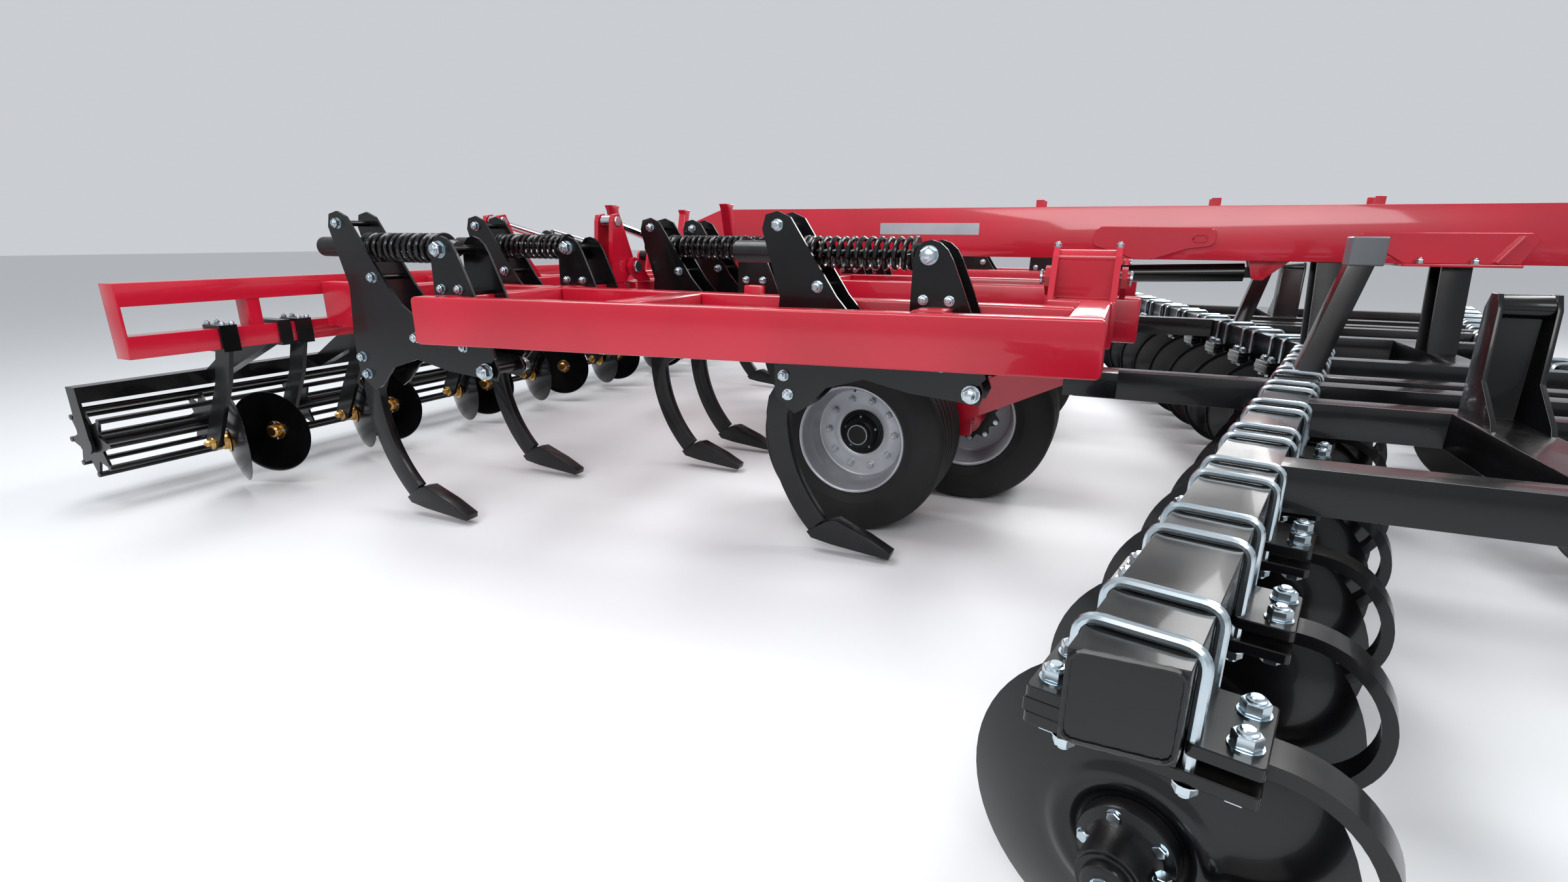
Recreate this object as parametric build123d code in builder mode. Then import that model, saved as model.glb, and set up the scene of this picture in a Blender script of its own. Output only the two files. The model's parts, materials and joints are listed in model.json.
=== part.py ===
from build123d import *
from math import atan2, cos, radians, sin, tan
import os

# Folding combination cultivator: a wheeled centre frame with a wing hinged to each side.
# Millimetres. X is forward, Y is to the left, Z is up from the ground, and Y = 0 is the centre line.
# Stations along X are given from the rear pair of transport axles.
# Pieces of a wing are made on the left, at +Y, and mirrored for the right.

os.makedirs("parts", exist_ok=True)

# Whole machine
AXLE_X = -800.0  # rear transport axles, so that the origin is under the middle of the machine
FRAME_TOP = 1115.0
FRAME_DEPTH = 200.0
FRAME_BOTTOM = FRAME_TOP - FRAME_DEPTH
CROSS_W = 120.0  # width of a cross tube along X
LONG_W = 100.0  # width of a lengthwise tube along Y
SEAT = 0.3  # gap of a piece that seats on or in another
RUN = 6.0  # gap between pieces that move past each other
PIN_PLAY = 1.0  # end play of the pin that stays in a rod's eye

# Stations of the cross tubes
FRONT_X = AXLE_X + 1000.0
SHORT_X = AXLE_X + 465.0  # between the wing's inner tube and its rail
MID_X = AXLE_X - 740.0
REAR_X = AXLE_X - 1550.0
LAST_X = AXLE_X - 2360.0
CROSS_STATIONS = (LAST_X, REAR_X, MID_X, FRONT_X)
HINGE_STATIONS = (LAST_X, REAR_X, FRONT_X)

# Fold hinge
HINGE_Y = 1150.0
HINGE_Z = 1200.0
HINGE_PIN_R = 25.0
HINGE_BOSS_R = 50.0
HINGE_GAP = 50.0  # from the hinge line to the end of a cross tube, each side
KNUCKLE_T = 25.0
KNUCKLE_BASE = 130.0
KNUCKLE_IN = 36.0  # inner face of a wing plate from its station
BOX_X = FRONT_X - 60.0  # middle of the wide knuckle at the front
BOX_IN = 115.0
BOX_BASE = 150.0
BOX_AHEAD = 180.0  # front of the block under the wide knuckle from the station
BOX_TUBE_R = 35.0
# Station of a hinge knuckle, and the inner face of its wing plates from there
KNUCKLES = ((LAST_X, KNUCKLE_IN), (REAR_X, KNUCKLE_IN), (BOX_X, BOX_IN))

# Fold cylinders, one at each of the two rear hinge stations, seen along X
FOLD_STATIONS = (LAST_X, REAR_X)
FOLD_LUG_Y = 1250.0  # rod pin on the wing, with the wing flat
FOLD_LUG_Z = 1440.0
FOLD_BASE_Y = 250.0
FOLD_BASE_Z = 1220.0
FOLD_BARREL_R = 42.0
FOLD_BARREL_WALL = 8.0
FOLD_NECK = 66.0  # base pin to the near end of the barrel
FOLD_BARREL_END = 606.0  # base pin to the far end of the barrel
FOLD_ROD_R = 22.0
FOLD_ROD_L = 560.0  # rod pin to the piston
FOLD_EYE_R = 36.0
FOLD_EYE_HALF = 28.0
FOLD_PIN_R = 18.0
LUG_T = 18.0

# Centre frame
SIDE_TUBE_Y = 360.0
TUBE_END_Y = HINGE_Y - HINGE_GAP
POST_STATIONS = (AXLE_X - 2120.0, AXLE_X - 1250.0)
POST_BASE_Y = 340.0
POST_TOP_Y = 450.0
POST_TOP_Z = 1560.0
POST_W = 60.0

# Wing frame
WING_TUBE_Y = HINGE_Y + HINGE_GAP
RAIL_W = 80.0
RAIL_ANGLE = 7.4
RAIL_FRONT_X = AXLE_X + 1070.0
RAIL_REAR_X = AXLE_X - 1640.0
RAIL_Y = 2280.0  # outer face of the rail at the rear axles' station
RAIL_CORNER_R = 22.0
INNER_TUBE_Y = 1690.0
LAST_TUBE_END_Y = 2150.0

# Tongue and hitch
TONGUE_W = 200.0
TONGUE_DEPTH = 280.0
TONGUE_TOP = 1540.0
TONGUE_REAR_X = AXLE_X - 1900.0
TONGUE_TAPER = 420.0
TONGUE_BEND_X = AXLE_X + 3150.0
TONGUE_NOSE_X = AXLE_X + 5000.0
HITCH_Z = 560.0
NOSE_DEPTH = 200.0
HITCH_REACH = 360.0
EYE_R = 75.0
EYE_BORE_R = 27.0
EYE_T = 60.0

# Jack stand
JACK_X = AXLE_X + 4450.0
JACK_Y = 190.0
JACK_W = 90.0
JACK_WALL = 8.0
JACK_BOTTOM = 520.0
JACK_TOP = 1400.0
JACK_LEG_TOP = 900.0
JACK_FOOT_T = 20.0

# Transport wheels: a staggered pair each side on a walking beam
TYRE_R = 450.0
TYRE_W = 400.0
RIM_R = 262.0
RIM_W = 364.0
AXLE_STEP = 410.0
BEAM_X = AXLE_X + AXLE_STEP / 2
BEAM_Y = 1060.0
BEAM_W = 50.0
BEAM_PIN_R = 42.0
WHEEL_OFFSET = 335.0  # middle of a tyre from the middle of its walking beam
SPINDLE_R = 40.0

# Rockshaft across the machine, its arms, and the lift cylinder between its lever and the tongue
ROCK_X = AXLE_X + 880.0
ROCK_Z = 800.0
ROCK_R = 60.0
ROCK_ARM_W = 50.0
LEVER_L = 400.0
LEVER_LEAN = 24.0
LEVER_W = 40.0
LIFT_BASE_X = AXLE_X + 1760.0
LIFT_BASE_Z = 1200.0
LIFT_BARREL_R = 48.0
LIFT_NECK = 70.0
LIFT_BARREL_END = 770.0
LIFT_ROD_R = 25.0
LIFT_ROD_L = 740.0
LIFT_EYE_R = 40.0
LIFT_EYE_HALF = 26.0
LIFT_PIN_R = 20.0

# Disc gangs
GANG_W = 150.0
GANG_TOP = 825.0
GANG_BOTTOM = GANG_TOP - GANG_W
GANG_SWEEP = 13.8
GANG_END_Y = 3760.0
GANG_SPLIT_Y = 1200.0
GANG_SPLIT_GAP = 60.0
REAR_GANG_X = AXLE_X + 2091.0  # where the beam's middle line meets the centre line
FRONT_GANG_X = AXLE_X + 2950.0
FRONT_GANG_END_Y = 3470.0
CARRIER_LAP = 50.0
SPACER_H = 120.0  # height of the lengthwise tubes, level with the beams' tops
CARRIER_Y = 1300.0  # wing's tube from under the front cross tube to the rear beam
CENTRE_SPACERS = (500.0, 1090.0)
WING_SPACERS = (1300.0, 1690.0, 2600.0, 3409.0)
BLOCK_Y = 1905.0  # block between the wing's front tube and its gang frame
BLOCK_W = 110.0
HANGER_X = AXLE_X + 2610.0
STRUT_Y = 1045.0
STRUT_TOP = 1375.0
STRUT_W = 90.0
STRUT_LEAN = 130.0  # top of the rest post ahead of its foot
TIE_X = AXLE_X + 2225.0  # cross tube between two spacers of the wing
TIE_W = 170.0
BRACKET_Y = 1755.0
BRACKET_TOP = 1215.0
BRACKET_IN = 62.0
BRACKET_PLATE = 15.0
DISC_R = 325.0
DISC_Z = 335.0
DISC_DISH = 65.0
DISC_T = 6.0
DISC_ANGLE = 18.0  # a disc's axis from the crosswise direction
DISC_OFFSET = 70.0  # middle of the arm to the back of the disc
DISC_HUB_R = 52.0
C_ARM_W = 70.0
C_ARM_T = 24.0
C_ARM_REACH = 355.0  # from the middle of the beam to the front of the arm
REAR_DISCS = (3624.0, 3194.0, 2764.0, 2334.0, 1904.0, 1474.0)
FRONT_DISCS = (3194.0, 2764.0, 2334.0, 1904.0, 1474.0)
CENTRE_DISCS = (1044.0, 640.0, 245.0)

# Trip shanks, measured from the pivot of the holder
PIVOT_Z = 795.0
PIVOT_AHEAD = 150.0  # pivot ahead of the middle of its cross tube
PIVOT_R = 20.0
HOLDER_IN = 67.5  # inner face of a holder plate from the middle of the shank
HOLDER_T = 12.0
BRACKET_T = 12.0
TINE_T = 40.0
TINE_W = 100.0
TINE_ARC_R = 731.0  # to the middle of the tine
TINE_ARC_X = -121.0
TINE_ARC_Z = -170.0
TINE_SWEEP = 43.0
SHARE_W = 70.0
SPRING_Z = 510.0
SPRING_R = 66.0
SPRING_WIRE = 22.0
SPRING_FRONT = -262.0
SPRING_REAR = -712.0
SPRING_TURNS = 10
SLEEVE_R = 45.0
SLEEVE_END = -1040.0
SHORT_SLEEVE_END = -890.0
CENTRE_SHANKS = ((MID_X, 530.0), (MID_X, 980.0))
WING_SHANKS = ((SHORT_X, 1860.0), (REAR_X, 1460.0), (REAR_X, 2258.0))

# Rear bars, levelling discs and cage rollers
BAR_X = AXLE_X - 2960.0
BAR_W = 100.0
UPPER_BAR_TOP = 1150.0
LOWER_BAR_TOP = 920.0
BAR_SPLIT_Y = 1175.0
BAR_GAP = 75.0
WING_BAR_END_Y = 2900.0
REAR_ARM_W = 80.0
LEVEL_R = 228.0
LEVEL_DISH = 45.0
LEVEL_Z = 300.0
LEVEL_BACK = 270.0
LEVEL_OFFSET = 62.0
LEVEL_ANGLE = 20.0
LEVEL_HUB_R = 34.0
ROLLER_X = AXLE_X - 3650.0
ROLLER_Z = 335.0
ROLLER_R = 185.0
ROLLER_BAR_R = 14.0
ROLLER_BARS = 8
ROLLER_SHAFT_R = 25.0
ROLLER_TUBE_W = 80.0
ROLLER_TUBE_Z = 585.0
BEARING_R = 55.0
BEARING_T = 14.0
# Distance from the centre line, and the side that the hollow face of the disc looks to
WING_LEVELS = ((2500.0, -1), (2130.0, 1), (1780.0, -1), (1400.0, 1))
CENTRE_LEVELS = ((985.0, -1), (600.0, 1), (250.0, -1))
WING_REAR_ARMS = (1270.0, 1950.0)
CENTRE_REAR_ARMS = (800.0,)
WING_ROLLER_ARMS = (1590.0, 2230.0)
CENTRE_ROLLER_ARMS = (430.0,)


def bar(x0, x1, y0, y1, z0, z1, mode=Mode.ADD):
    """Add a straight bar between two corners to the open part."""
    with Locations(((x0 + x1) / 2, (y0 + y1) / 2, (z0 + z1) / 2)):
        Box(abs(x1 - x0), abs(y1 - y0), abs(z1 - z0), mode=mode)


def pin_x(x0, x1, y, z, radius, mode=Mode.ADD):
    """Add a round pin along X to the open part."""
    with Locations(Location(((x0 + x1) / 2, y, z), (0, 90, 0))):
        Cylinder(radius, abs(x1 - x0), mode=mode)


def pin_y(x, y0, y1, z, radius, mode=Mode.ADD):
    """Add a round pin along Y to the open part."""
    with Locations(Location((x, (y0 + y1) / 2, z), (90, 0, 0))):
        Cylinder(radius, abs(y1 - y0), mode=mode)


def plate_xz(points, y0, y1, mode=Mode.ADD):
    """Add a flat plate with an outline in X and Z to the open part."""
    with BuildSketch(Plane((0, y1, 0), x_dir=(1, 0, 0), z_dir=(0, -1, 0))) as outline:
        Polygon(*points, align=None)
    extrude(outline.sketch, amount=y1 - y0, mode=mode)


def plate_yz(points, x0, x1, mode=Mode.ADD):
    """Add a flat plate with an outline in Y and Z to the open part."""
    with BuildSketch(Plane((x0, 0, 0), x_dir=(0, 1, 0), z_dir=(1, 0, 0))) as outline:
        Polygon(*points, align=None)
    extrude(outline.sketch, amount=x1 - x0, mode=mode)


def finish(part, name):
    """Label a finished piece and write it out."""
    part.part.label = name
    export_step(part.part, f"parts/{name}.step")


def finish_pair(part, name):
    """Write a piece of the left wing, and its mirror image for the right."""
    finish(part, f"{name}_left")
    with BuildPart() as twin:
        mirror(part.part, about=Plane.XZ)
    finish(twin, f"{name}_right")


def rail_y(x, depth):
    """Distance from the centre line of a line that lies a depth inside the rail's outer face."""
    angle = radians(RAIL_ANGLE)
    return RAIL_Y - (x - AXLE_X) * tan(angle) - depth / cos(angle)


def gang_x(start, y):
    """Station of a gang beam's middle line: positive starts sweep back, the front beam forward."""
    lean = -1 if start == REAR_GANG_X else 1
    return start + lean * y * tan(radians(GANG_SWEEP))


# Centre frame: four cross tubes, and lengthwise tubes between them, which carry the rockshaft's
# bearings below and two pairs of rest posts with flared caps above
with BuildPart() as centre_cross_tubes:
    for station in CROSS_STATIONS:
        bar(station - CROSS_W / 2, station + CROSS_W / 2, -TUBE_END_Y, TUBE_END_Y, FRAME_BOTTOM, FRAME_TOP)
    x0 = BOX_X - BOX_IN - KNUCKLE_T * 2 - RUN
    for y0, y1 in ((TUBE_END_Y - BOX_BASE, TUBE_END_Y), (-TUBE_END_Y, BOX_BASE - TUBE_END_Y)):
        bar(x0, FRONT_X + BOX_AHEAD, y0, y1, FRAME_BOTTOM, FRAME_TOP)
finish(centre_cross_tubes, "centre_cross_tubes")

with BuildPart() as centre_side_tubes:
    for behind, ahead in zip(CROSS_STATIONS, CROSS_STATIONS[1:]):
        x0, x1 = behind + CROSS_W / 2, ahead - CROSS_W / 2
        bar(x0, x1, SIDE_TUBE_Y - LONG_W / 2, SIDE_TUBE_Y + LONG_W / 2, FRAME_BOTTOM, FRAME_TOP)
    plate_xz(
        [
            (ROCK_X - 130.0, FRAME_BOTTOM),
            (ROCK_X - 90.0, ROCK_Z - 45.0),
            (ROCK_X - 45.0, ROCK_Z - 90.0),
            (ROCK_X + 45.0, ROCK_Z - 90.0),
            (ROCK_X + 90.0, ROCK_Z - 45.0),
            (ROCK_X + 115.0, FRAME_BOTTOM),
        ],
        SIDE_TUBE_Y - 30.0,
        SIDE_TUBE_Y + 30.0,
    )
    pin_y(ROCK_X, SIDE_TUBE_Y - 30.0, SIDE_TUBE_Y + 30.0, ROCK_Z, ROCK_R + SEAT, mode=Mode.SUBTRACT)
    for station in POST_STATIONS:
        plate_yz(
            [
                (POST_BASE_Y - POST_W / 2, FRAME_TOP),
                (POST_BASE_Y + POST_W / 2, FRAME_TOP),
                (POST_TOP_Y + POST_W / 2, POST_TOP_Z - 30.0),
                (POST_TOP_Y + POST_W * 0.8, POST_TOP_Z),
                (POST_TOP_Y - POST_W * 0.8, POST_TOP_Z),
                (POST_TOP_Y - POST_W / 2, POST_TOP_Z - 30.0),
            ],
            station - POST_W / 2,
            station + POST_W / 2,
        )
    mirror(about=Plane.XZ)
finish(centre_side_tubes, "centre_side_tubes")

# Hinge knuckles of the centre frame with their pins, and the lugs that carry the fold cylinders
with BuildPart() as centre_knuckles:
    for station, inner in KNUCKLES:
        for face in (-1, 1):
            near = station + face * (inner + KNUCKLE_T + RUN)
            far = near + face * KNUCKLE_T
            plate_yz(
                [
                    (TUBE_END_Y - 90.0, FRAME_TOP),
                    (TUBE_END_Y, FRAME_TOP),
                    (HINGE_Y + HINGE_BOSS_R * 0.6, HINGE_Z - HINGE_BOSS_R * 0.8),
                    (HINGE_Y + HINGE_BOSS_R, HINGE_Z),
                    (HINGE_Y + HINGE_BOSS_R * 0.6, HINGE_Z + HINGE_BOSS_R * 0.8),
                    (HINGE_Y, HINGE_Z + HINGE_BOSS_R),
                    (HINGE_Y - HINGE_BOSS_R, HINGE_Z + HINGE_BOSS_R * 0.6),
                ],
                min(near, far),
                max(near, far),
            )
        reach = inner + KNUCKLE_T * 2 + RUN + 12.0
        pin_x(station - reach, station + reach, HINGE_Y, HINGE_Z, HINGE_PIN_R)
    for station in FOLD_STATIONS:
        for face in (-1, 1):
            near = station + face * (FOLD_EYE_HALF + RUN)
            far = near + face * LUG_T
            plate_yz(
                [
                    (FOLD_BASE_Y - 70.0, FRAME_TOP),
                    (FOLD_BASE_Y + 90.0, FRAME_TOP),
                    (FOLD_BASE_Y + 36.0, FOLD_BASE_Z + 15.0),
                    (FOLD_BASE_Y + 15.0, FOLD_BASE_Z + 36.0),
                    (FOLD_BASE_Y - 15.0, FOLD_BASE_Z + 36.0),
                    (FOLD_BASE_Y - 36.0, FOLD_BASE_Z + 15.0),
                ],
                min(near, far),
                max(near, far),
            )
        reach = FOLD_EYE_HALF + RUN + LUG_T
        pin_x(station - reach, station + reach, FOLD_BASE_Y, FOLD_BASE_Z, FOLD_PIN_R)
    mirror(about=Plane.XZ)
finish(centre_knuckles, "centre_knuckles")

# Tongue: a deep beam above the frame that bends down to the hitch, and the saddles that carry it
with BuildPart() as tongue:
    plate_xz(
        [
            (TONGUE_REAR_X, TONGUE_TOP - TONGUE_DEPTH),
            (TONGUE_BEND_X, TONGUE_TOP - TONGUE_DEPTH),
            (TONGUE_NOSE_X, HITCH_Z - NOSE_DEPTH / 2),
            (TONGUE_NOSE_X, HITCH_Z + NOSE_DEPTH / 2),
            (TONGUE_BEND_X + 140.0, TONGUE_TOP),
            (TONGUE_REAR_X + TONGUE_TAPER, TONGUE_TOP),
            (TONGUE_REAR_X, TONGUE_TOP - TONGUE_DEPTH * 0.55),
        ],
        -TONGUE_W / 2,
        TONGUE_W / 2,
    )
    seat_z = TONGUE_TOP - TONGUE_DEPTH - SEAT
    for station in (REAR_X, MID_X, FRONT_X):
        x0, x1 = station - CROSS_W / 2, station + CROSS_W / 2
        bar(x0, x1, TONGUE_W / 2 - 30.0, TONGUE_W / 2, FRAME_TOP, seat_z)
    plate_xz(
        [
            (LIFT_BASE_X - 62.0, seat_z),
            (LIFT_BASE_X - 40.0, LIFT_BASE_Z - 20.0),
            (LIFT_BASE_X - 20.0, LIFT_BASE_Z - 40.0),
            (LIFT_BASE_X + 20.0, LIFT_BASE_Z - 40.0),
            (LIFT_BASE_X + 40.0, LIFT_BASE_Z - 20.0),
            (LIFT_BASE_X + 130.0, seat_z),
        ],
        LIFT_EYE_HALF + RUN,
        LIFT_EYE_HALF + RUN + LUG_T,
    )
    mirror(about=Plane.XZ)
    reach = LIFT_EYE_HALF + RUN + LUG_T
    pin_y(LIFT_BASE_X, -reach, reach, LIFT_BASE_Z, LIFT_PIN_R)
finish(tongue, "tongue")

with BuildPart() as drawbar_eye:
    eye_x = TONGUE_NOSE_X + HITCH_REACH
    bar(TONGUE_NOSE_X, eye_x, -EYE_R * 0.8, EYE_R * 0.8, HITCH_Z - EYE_T / 2, HITCH_Z + EYE_T / 2)
    bar(TONGUE_NOSE_X, TONGUE_NOSE_X + 20.0, -90.0, 90.0, HITCH_Z - NOSE_DEPTH / 2, HITCH_Z + NOSE_DEPTH / 2)
    with Locations((eye_x, 0, HITCH_Z)):
        Cylinder(EYE_R, EYE_T)
        Cylinder(EYE_BORE_R, EYE_T, mode=Mode.SUBTRACT)
finish(drawbar_eye, "drawbar_eye")

# Jack stand beside the tongue's nose: a square tube, and the leg that slides in it
with BuildPart() as jack_tube:
    bar(JACK_X - JACK_W / 2, JACK_X + JACK_W / 2, JACK_Y - JACK_W / 2, JACK_Y + JACK_W / 2, JACK_BOTTOM, JACK_TOP)
    hollow = JACK_W / 2 - JACK_WALL
    bar(
        JACK_X - hollow,
        JACK_X + hollow,
        JACK_Y - hollow,
        JACK_Y + hollow,
        JACK_BOTTOM,
        JACK_TOP - JACK_WALL,
        mode=Mode.SUBTRACT,
    )
    bar(JACK_X - 35.0, JACK_X + 35.0, TONGUE_W / 2, JACK_Y - JACK_W / 2, 760.0, 860.0)
    crank_x = JACK_X + JACK_W / 2
    pin_x(crank_x, crank_x + 70.0, JACK_Y, JACK_TOP - 60.0, 12.0)
    bar(crank_x + 55.0, crank_x + 70.0, JACK_Y - 12.0, JACK_Y + 170.0, JACK_TOP - 72.0, JACK_TOP - 48.0)
finish(jack_tube, "jack_tube")

with BuildPart() as jack_leg:
    half = JACK_W / 2 - JACK_WALL - SEAT
    bar(JACK_X - half, JACK_X + half, JACK_Y - half, JACK_Y + half, JACK_FOOT_T, JACK_LEG_TOP)
    bar(JACK_X - 130.0, JACK_X + 130.0, JACK_Y - 110.0, JACK_Y + 110.0, 0.0, JACK_FOOT_T)
finish(jack_leg, "jack_leg")

# Wing frame: cross tubes, and the slanted rail and inner tube that join them
with BuildPart() as wing_cross_tubes:
    for station in HINGE_STATIONS:
        end = LAST_TUBE_END_Y if station == LAST_X else RAIL_Y + 500.0
        bar(station - CROSS_W / 2, station + CROSS_W / 2, WING_TUBE_Y, end, FRAME_BOTTOM, FRAME_TOP)
    x0, x1 = BOX_X - BOX_IN - KNUCKLE_T, BOX_X + BOX_IN + KNUCKLE_T
    bar(x0, x1, WING_TUBE_Y, WING_TUBE_Y + BOX_BASE, FRAME_BOTTOM, FRAME_TOP)
    for station in (MID_X, SHORT_X):
        start = INNER_TUBE_Y + LONG_W / 2
        bar(station - CROSS_W / 2, station + CROSS_W / 2, start, RAIL_Y + 500.0, FRAME_BOTTOM, FRAME_TOP)
    x0, x1 = RAIL_REAR_X - 100.0, RAIL_FRONT_X + 100.0
    with BuildSketch(Plane.XY.offset(FRAME_BOTTOM)) as beyond_rail:
        Polygon((x0, rail_y(x0, RAIL_W)), (x1, rail_y(x1, RAIL_W)), (x1, 3000.0), (x0, 3000.0), align=None)
    extrude(beyond_rail.sketch, amount=FRAME_DEPTH, mode=Mode.SUBTRACT)
finish_pair(wing_cross_tubes, "wing_cross_tubes")

with BuildPart() as wing_long_tubes:
    lean = radians(RAIL_ANGLE)
    outer_face = Plane((AXLE_X, RAIL_Y, 0), x_dir=(cos(lean), -sin(lean), 0), z_dir=(sin(lean), cos(lean), 0))
    ahead = (RAIL_FRONT_X - AXLE_X) / cos(lean)
    behind = (RAIL_REAR_X - AXLE_X) / cos(lean)
    with BuildSketch(outer_face) as rail_side:
        with Locations(((ahead + behind) / 2, -(FRAME_TOP + FRAME_BOTTOM) / 2)):
            RectangleRounded(ahead - behind, FRAME_DEPTH, RAIL_CORNER_R)
    extrude(rail_side.sketch, amount=-RAIL_W)
    for behind, ahead in zip(CROSS_STATIONS, CROSS_STATIONS[1:]):
        x0, x1 = behind + CROSS_W / 2, ahead - CROSS_W / 2
        if behind == LAST_X or behind == REAR_X:
            bar(x0, x1, INNER_TUBE_Y - LONG_W / 2, INNER_TUBE_Y + LONG_W / 2, FRAME_BOTTOM, FRAME_TOP)
    bar(
        REAR_X + CROSS_W / 2,
        FRONT_X - CROSS_W / 2,
        INNER_TUBE_Y - LONG_W / 2,
        INNER_TUBE_Y + LONG_W / 2,
        FRAME_BOTTOM,
        FRAME_TOP,
    )
finish_pair(wing_long_tubes, "wing_long_tubes")

# Wing knuckles: plates that turn on the hinge pins and carry the rod eyes
with BuildPart() as wing_knuckles:
    for station in FOLD_STATIONS:
        for face in (-1, 1):
            near = station + face * KNUCKLE_IN
            far = near + face * KNUCKLE_T
            plate_yz(
                [
                    (HINGE_Y - HINGE_BOSS_R, HINGE_Z),
                    (HINGE_Y - HINGE_BOSS_R * 0.6, HINGE_Z - HINGE_BOSS_R * 0.8),
                    (HINGE_Y + HINGE_BOSS_R * 0.4, HINGE_Z - HINGE_BOSS_R),
                    (WING_TUBE_Y, FRAME_TOP),
                    (WING_TUBE_Y + KNUCKLE_BASE, FRAME_TOP),
                    (FOLD_LUG_Y + 42.0, FOLD_LUG_Z),
                    (FOLD_LUG_Y + 30.0, FOLD_LUG_Z + 32.0),
                    (FOLD_LUG_Y - 20.0, FOLD_LUG_Z + 40.0),
                    (FOLD_LUG_Y - 42.0, FOLD_LUG_Z),
                    (HINGE_Y - HINGE_BOSS_R * 0.6, HINGE_Z + HINGE_BOSS_R * 0.8),
                ],
                min(near, far),
                max(near, far),
            )
    for face in (-1, 1):
        near = BOX_X + face * BOX_IN
        far = near + face * KNUCKLE_T
        plate_yz(
            [
                (HINGE_Y - HINGE_BOSS_R, HINGE_Z),
                (HINGE_Y - HINGE_BOSS_R * 0.6, HINGE_Z - HINGE_BOSS_R * 0.8),
                (HINGE_Y + HINGE_BOSS_R * 0.4, HINGE_Z - HINGE_BOSS_R),
                (WING_TUBE_Y, FRAME_TOP),
                (WING_TUBE_Y + BOX_BASE - 10.0, FRAME_TOP),
                (HINGE_Y + 90.0, HINGE_Z + 95.0),
                (HINGE_Y + 55.0, HINGE_Z + 130.0),
                (HINGE_Y - 5.0, HINGE_Z + 130.0),
                (HINGE_Y - 42.0, HINGE_Z + 70.0),
            ],
            min(near, far),
            max(near, far),
        )
    # Cross tube and back wall between the plates of the wide knuckle
    pin_x(BOX_X - BOX_IN, BOX_X + BOX_IN, HINGE_Y + 32.0, HINGE_Z + 85.0, BOX_TUBE_R)
    bar(BOX_X - BOX_IN, BOX_X + BOX_IN, HINGE_Y + 52.0, HINGE_Y + 68.0, FRAME_TOP, HINGE_Z + 75.0)
    for station, inner in KNUCKLES:
        reach = inner + KNUCKLE_T
        pin_x(station - reach, station + reach, HINGE_Y, HINGE_Z, HINGE_PIN_R + SEAT, mode=Mode.SUBTRACT)
finish_pair(wing_knuckles, "wing_knuckles")

# Fold cylinders: barrels that swing on the centre frame, and rods that slide in them
fold_run = (FOLD_LUG_Y - FOLD_BASE_Y, FOLD_LUG_Z - FOLD_BASE_Z)
fold_length = (fold_run[0] ** 2 + fold_run[1] ** 2) ** 0.5
fold_tilt = atan2(fold_run[1], fold_run[0])


def barrel(neck, end, radius, wall, rod_r, eye_r, eye_half, pin_r):
    """A hollow cylinder barrel along +X, with its eye about Y at the origin."""
    with BuildPart() as blank:
        with BuildSketch(Plane.XY) as shell:
            Polygon(
                (neck, 0.0),
                (neck, radius),
                (end, radius),
                (end, rod_r + SEAT),
                (end - 30.0, rod_r + SEAT),
                (end - 30.0, radius - wall),
                (neck + 25.0, radius - wall),
                (neck + 25.0, 0.0),
                align=None,
            )
        revolve(shell.sketch, axis=Axis.X)
        bar(0.0, neck + 5.0, -eye_half, eye_half, -eye_r * 0.7, eye_r * 0.7)
        pin_y(0.0, -eye_half, eye_half, 0.0, eye_r)
        pin_y(0.0, -eye_half, eye_half, 0.0, pin_r + SEAT, mode=Mode.SUBTRACT)
    return blank.part


def rod(length, reach, rod_r, piston_r, eye_r, eye_half, pin_r, pin_half):
    """A piston rod along X, with its piston inside, and with its eye and pin at a length from the origin."""
    with BuildPart() as blank:
        pin_x(length - reach, length - eye_r * 0.5, 0.0, 0.0, rod_r)
        pin_x(length - reach, length - reach + 35.0, 0.0, 0.0, piston_r)
        pin_y(length, -eye_half, eye_half, 0.0, eye_r)
        pin_y(length, -pin_half, pin_half, 0.0, pin_r)
    return blank.part


fold_barrel = barrel(
    FOLD_NECK, FOLD_BARREL_END, FOLD_BARREL_R, FOLD_BARREL_WALL, FOLD_ROD_R, FOLD_EYE_R, FOLD_EYE_HALF, FOLD_PIN_R
)
fold_piston_r = FOLD_BARREL_R - FOLD_BARREL_WALL - SEAT
fold_rod = rod(
    fold_length,
    FOLD_ROD_L,
    FOLD_ROD_R,
    fold_piston_r,
    FOLD_EYE_R - 4.0,
    FOLD_EYE_HALF,
    FOLD_PIN_R,
    KNUCKLE_IN - PIN_PLAY,
)
fold_places = [
    Plane(
        (station, FOLD_BASE_Y, FOLD_BASE_Z),
        x_dir=(0, cos(fold_tilt), sin(fold_tilt)),
        z_dir=(0, -sin(fold_tilt), cos(fold_tilt)),
    )
    for station in FOLD_STATIONS
]

with BuildPart() as fold_barrels:
    with Locations(*fold_places):
        add(fold_barrel)
finish_pair(fold_barrels, "fold_barrels")

with BuildPart() as fold_rods:
    with Locations(*fold_places):
        add(fold_rod)
finish_pair(fold_rods, "fold_rods")

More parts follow.
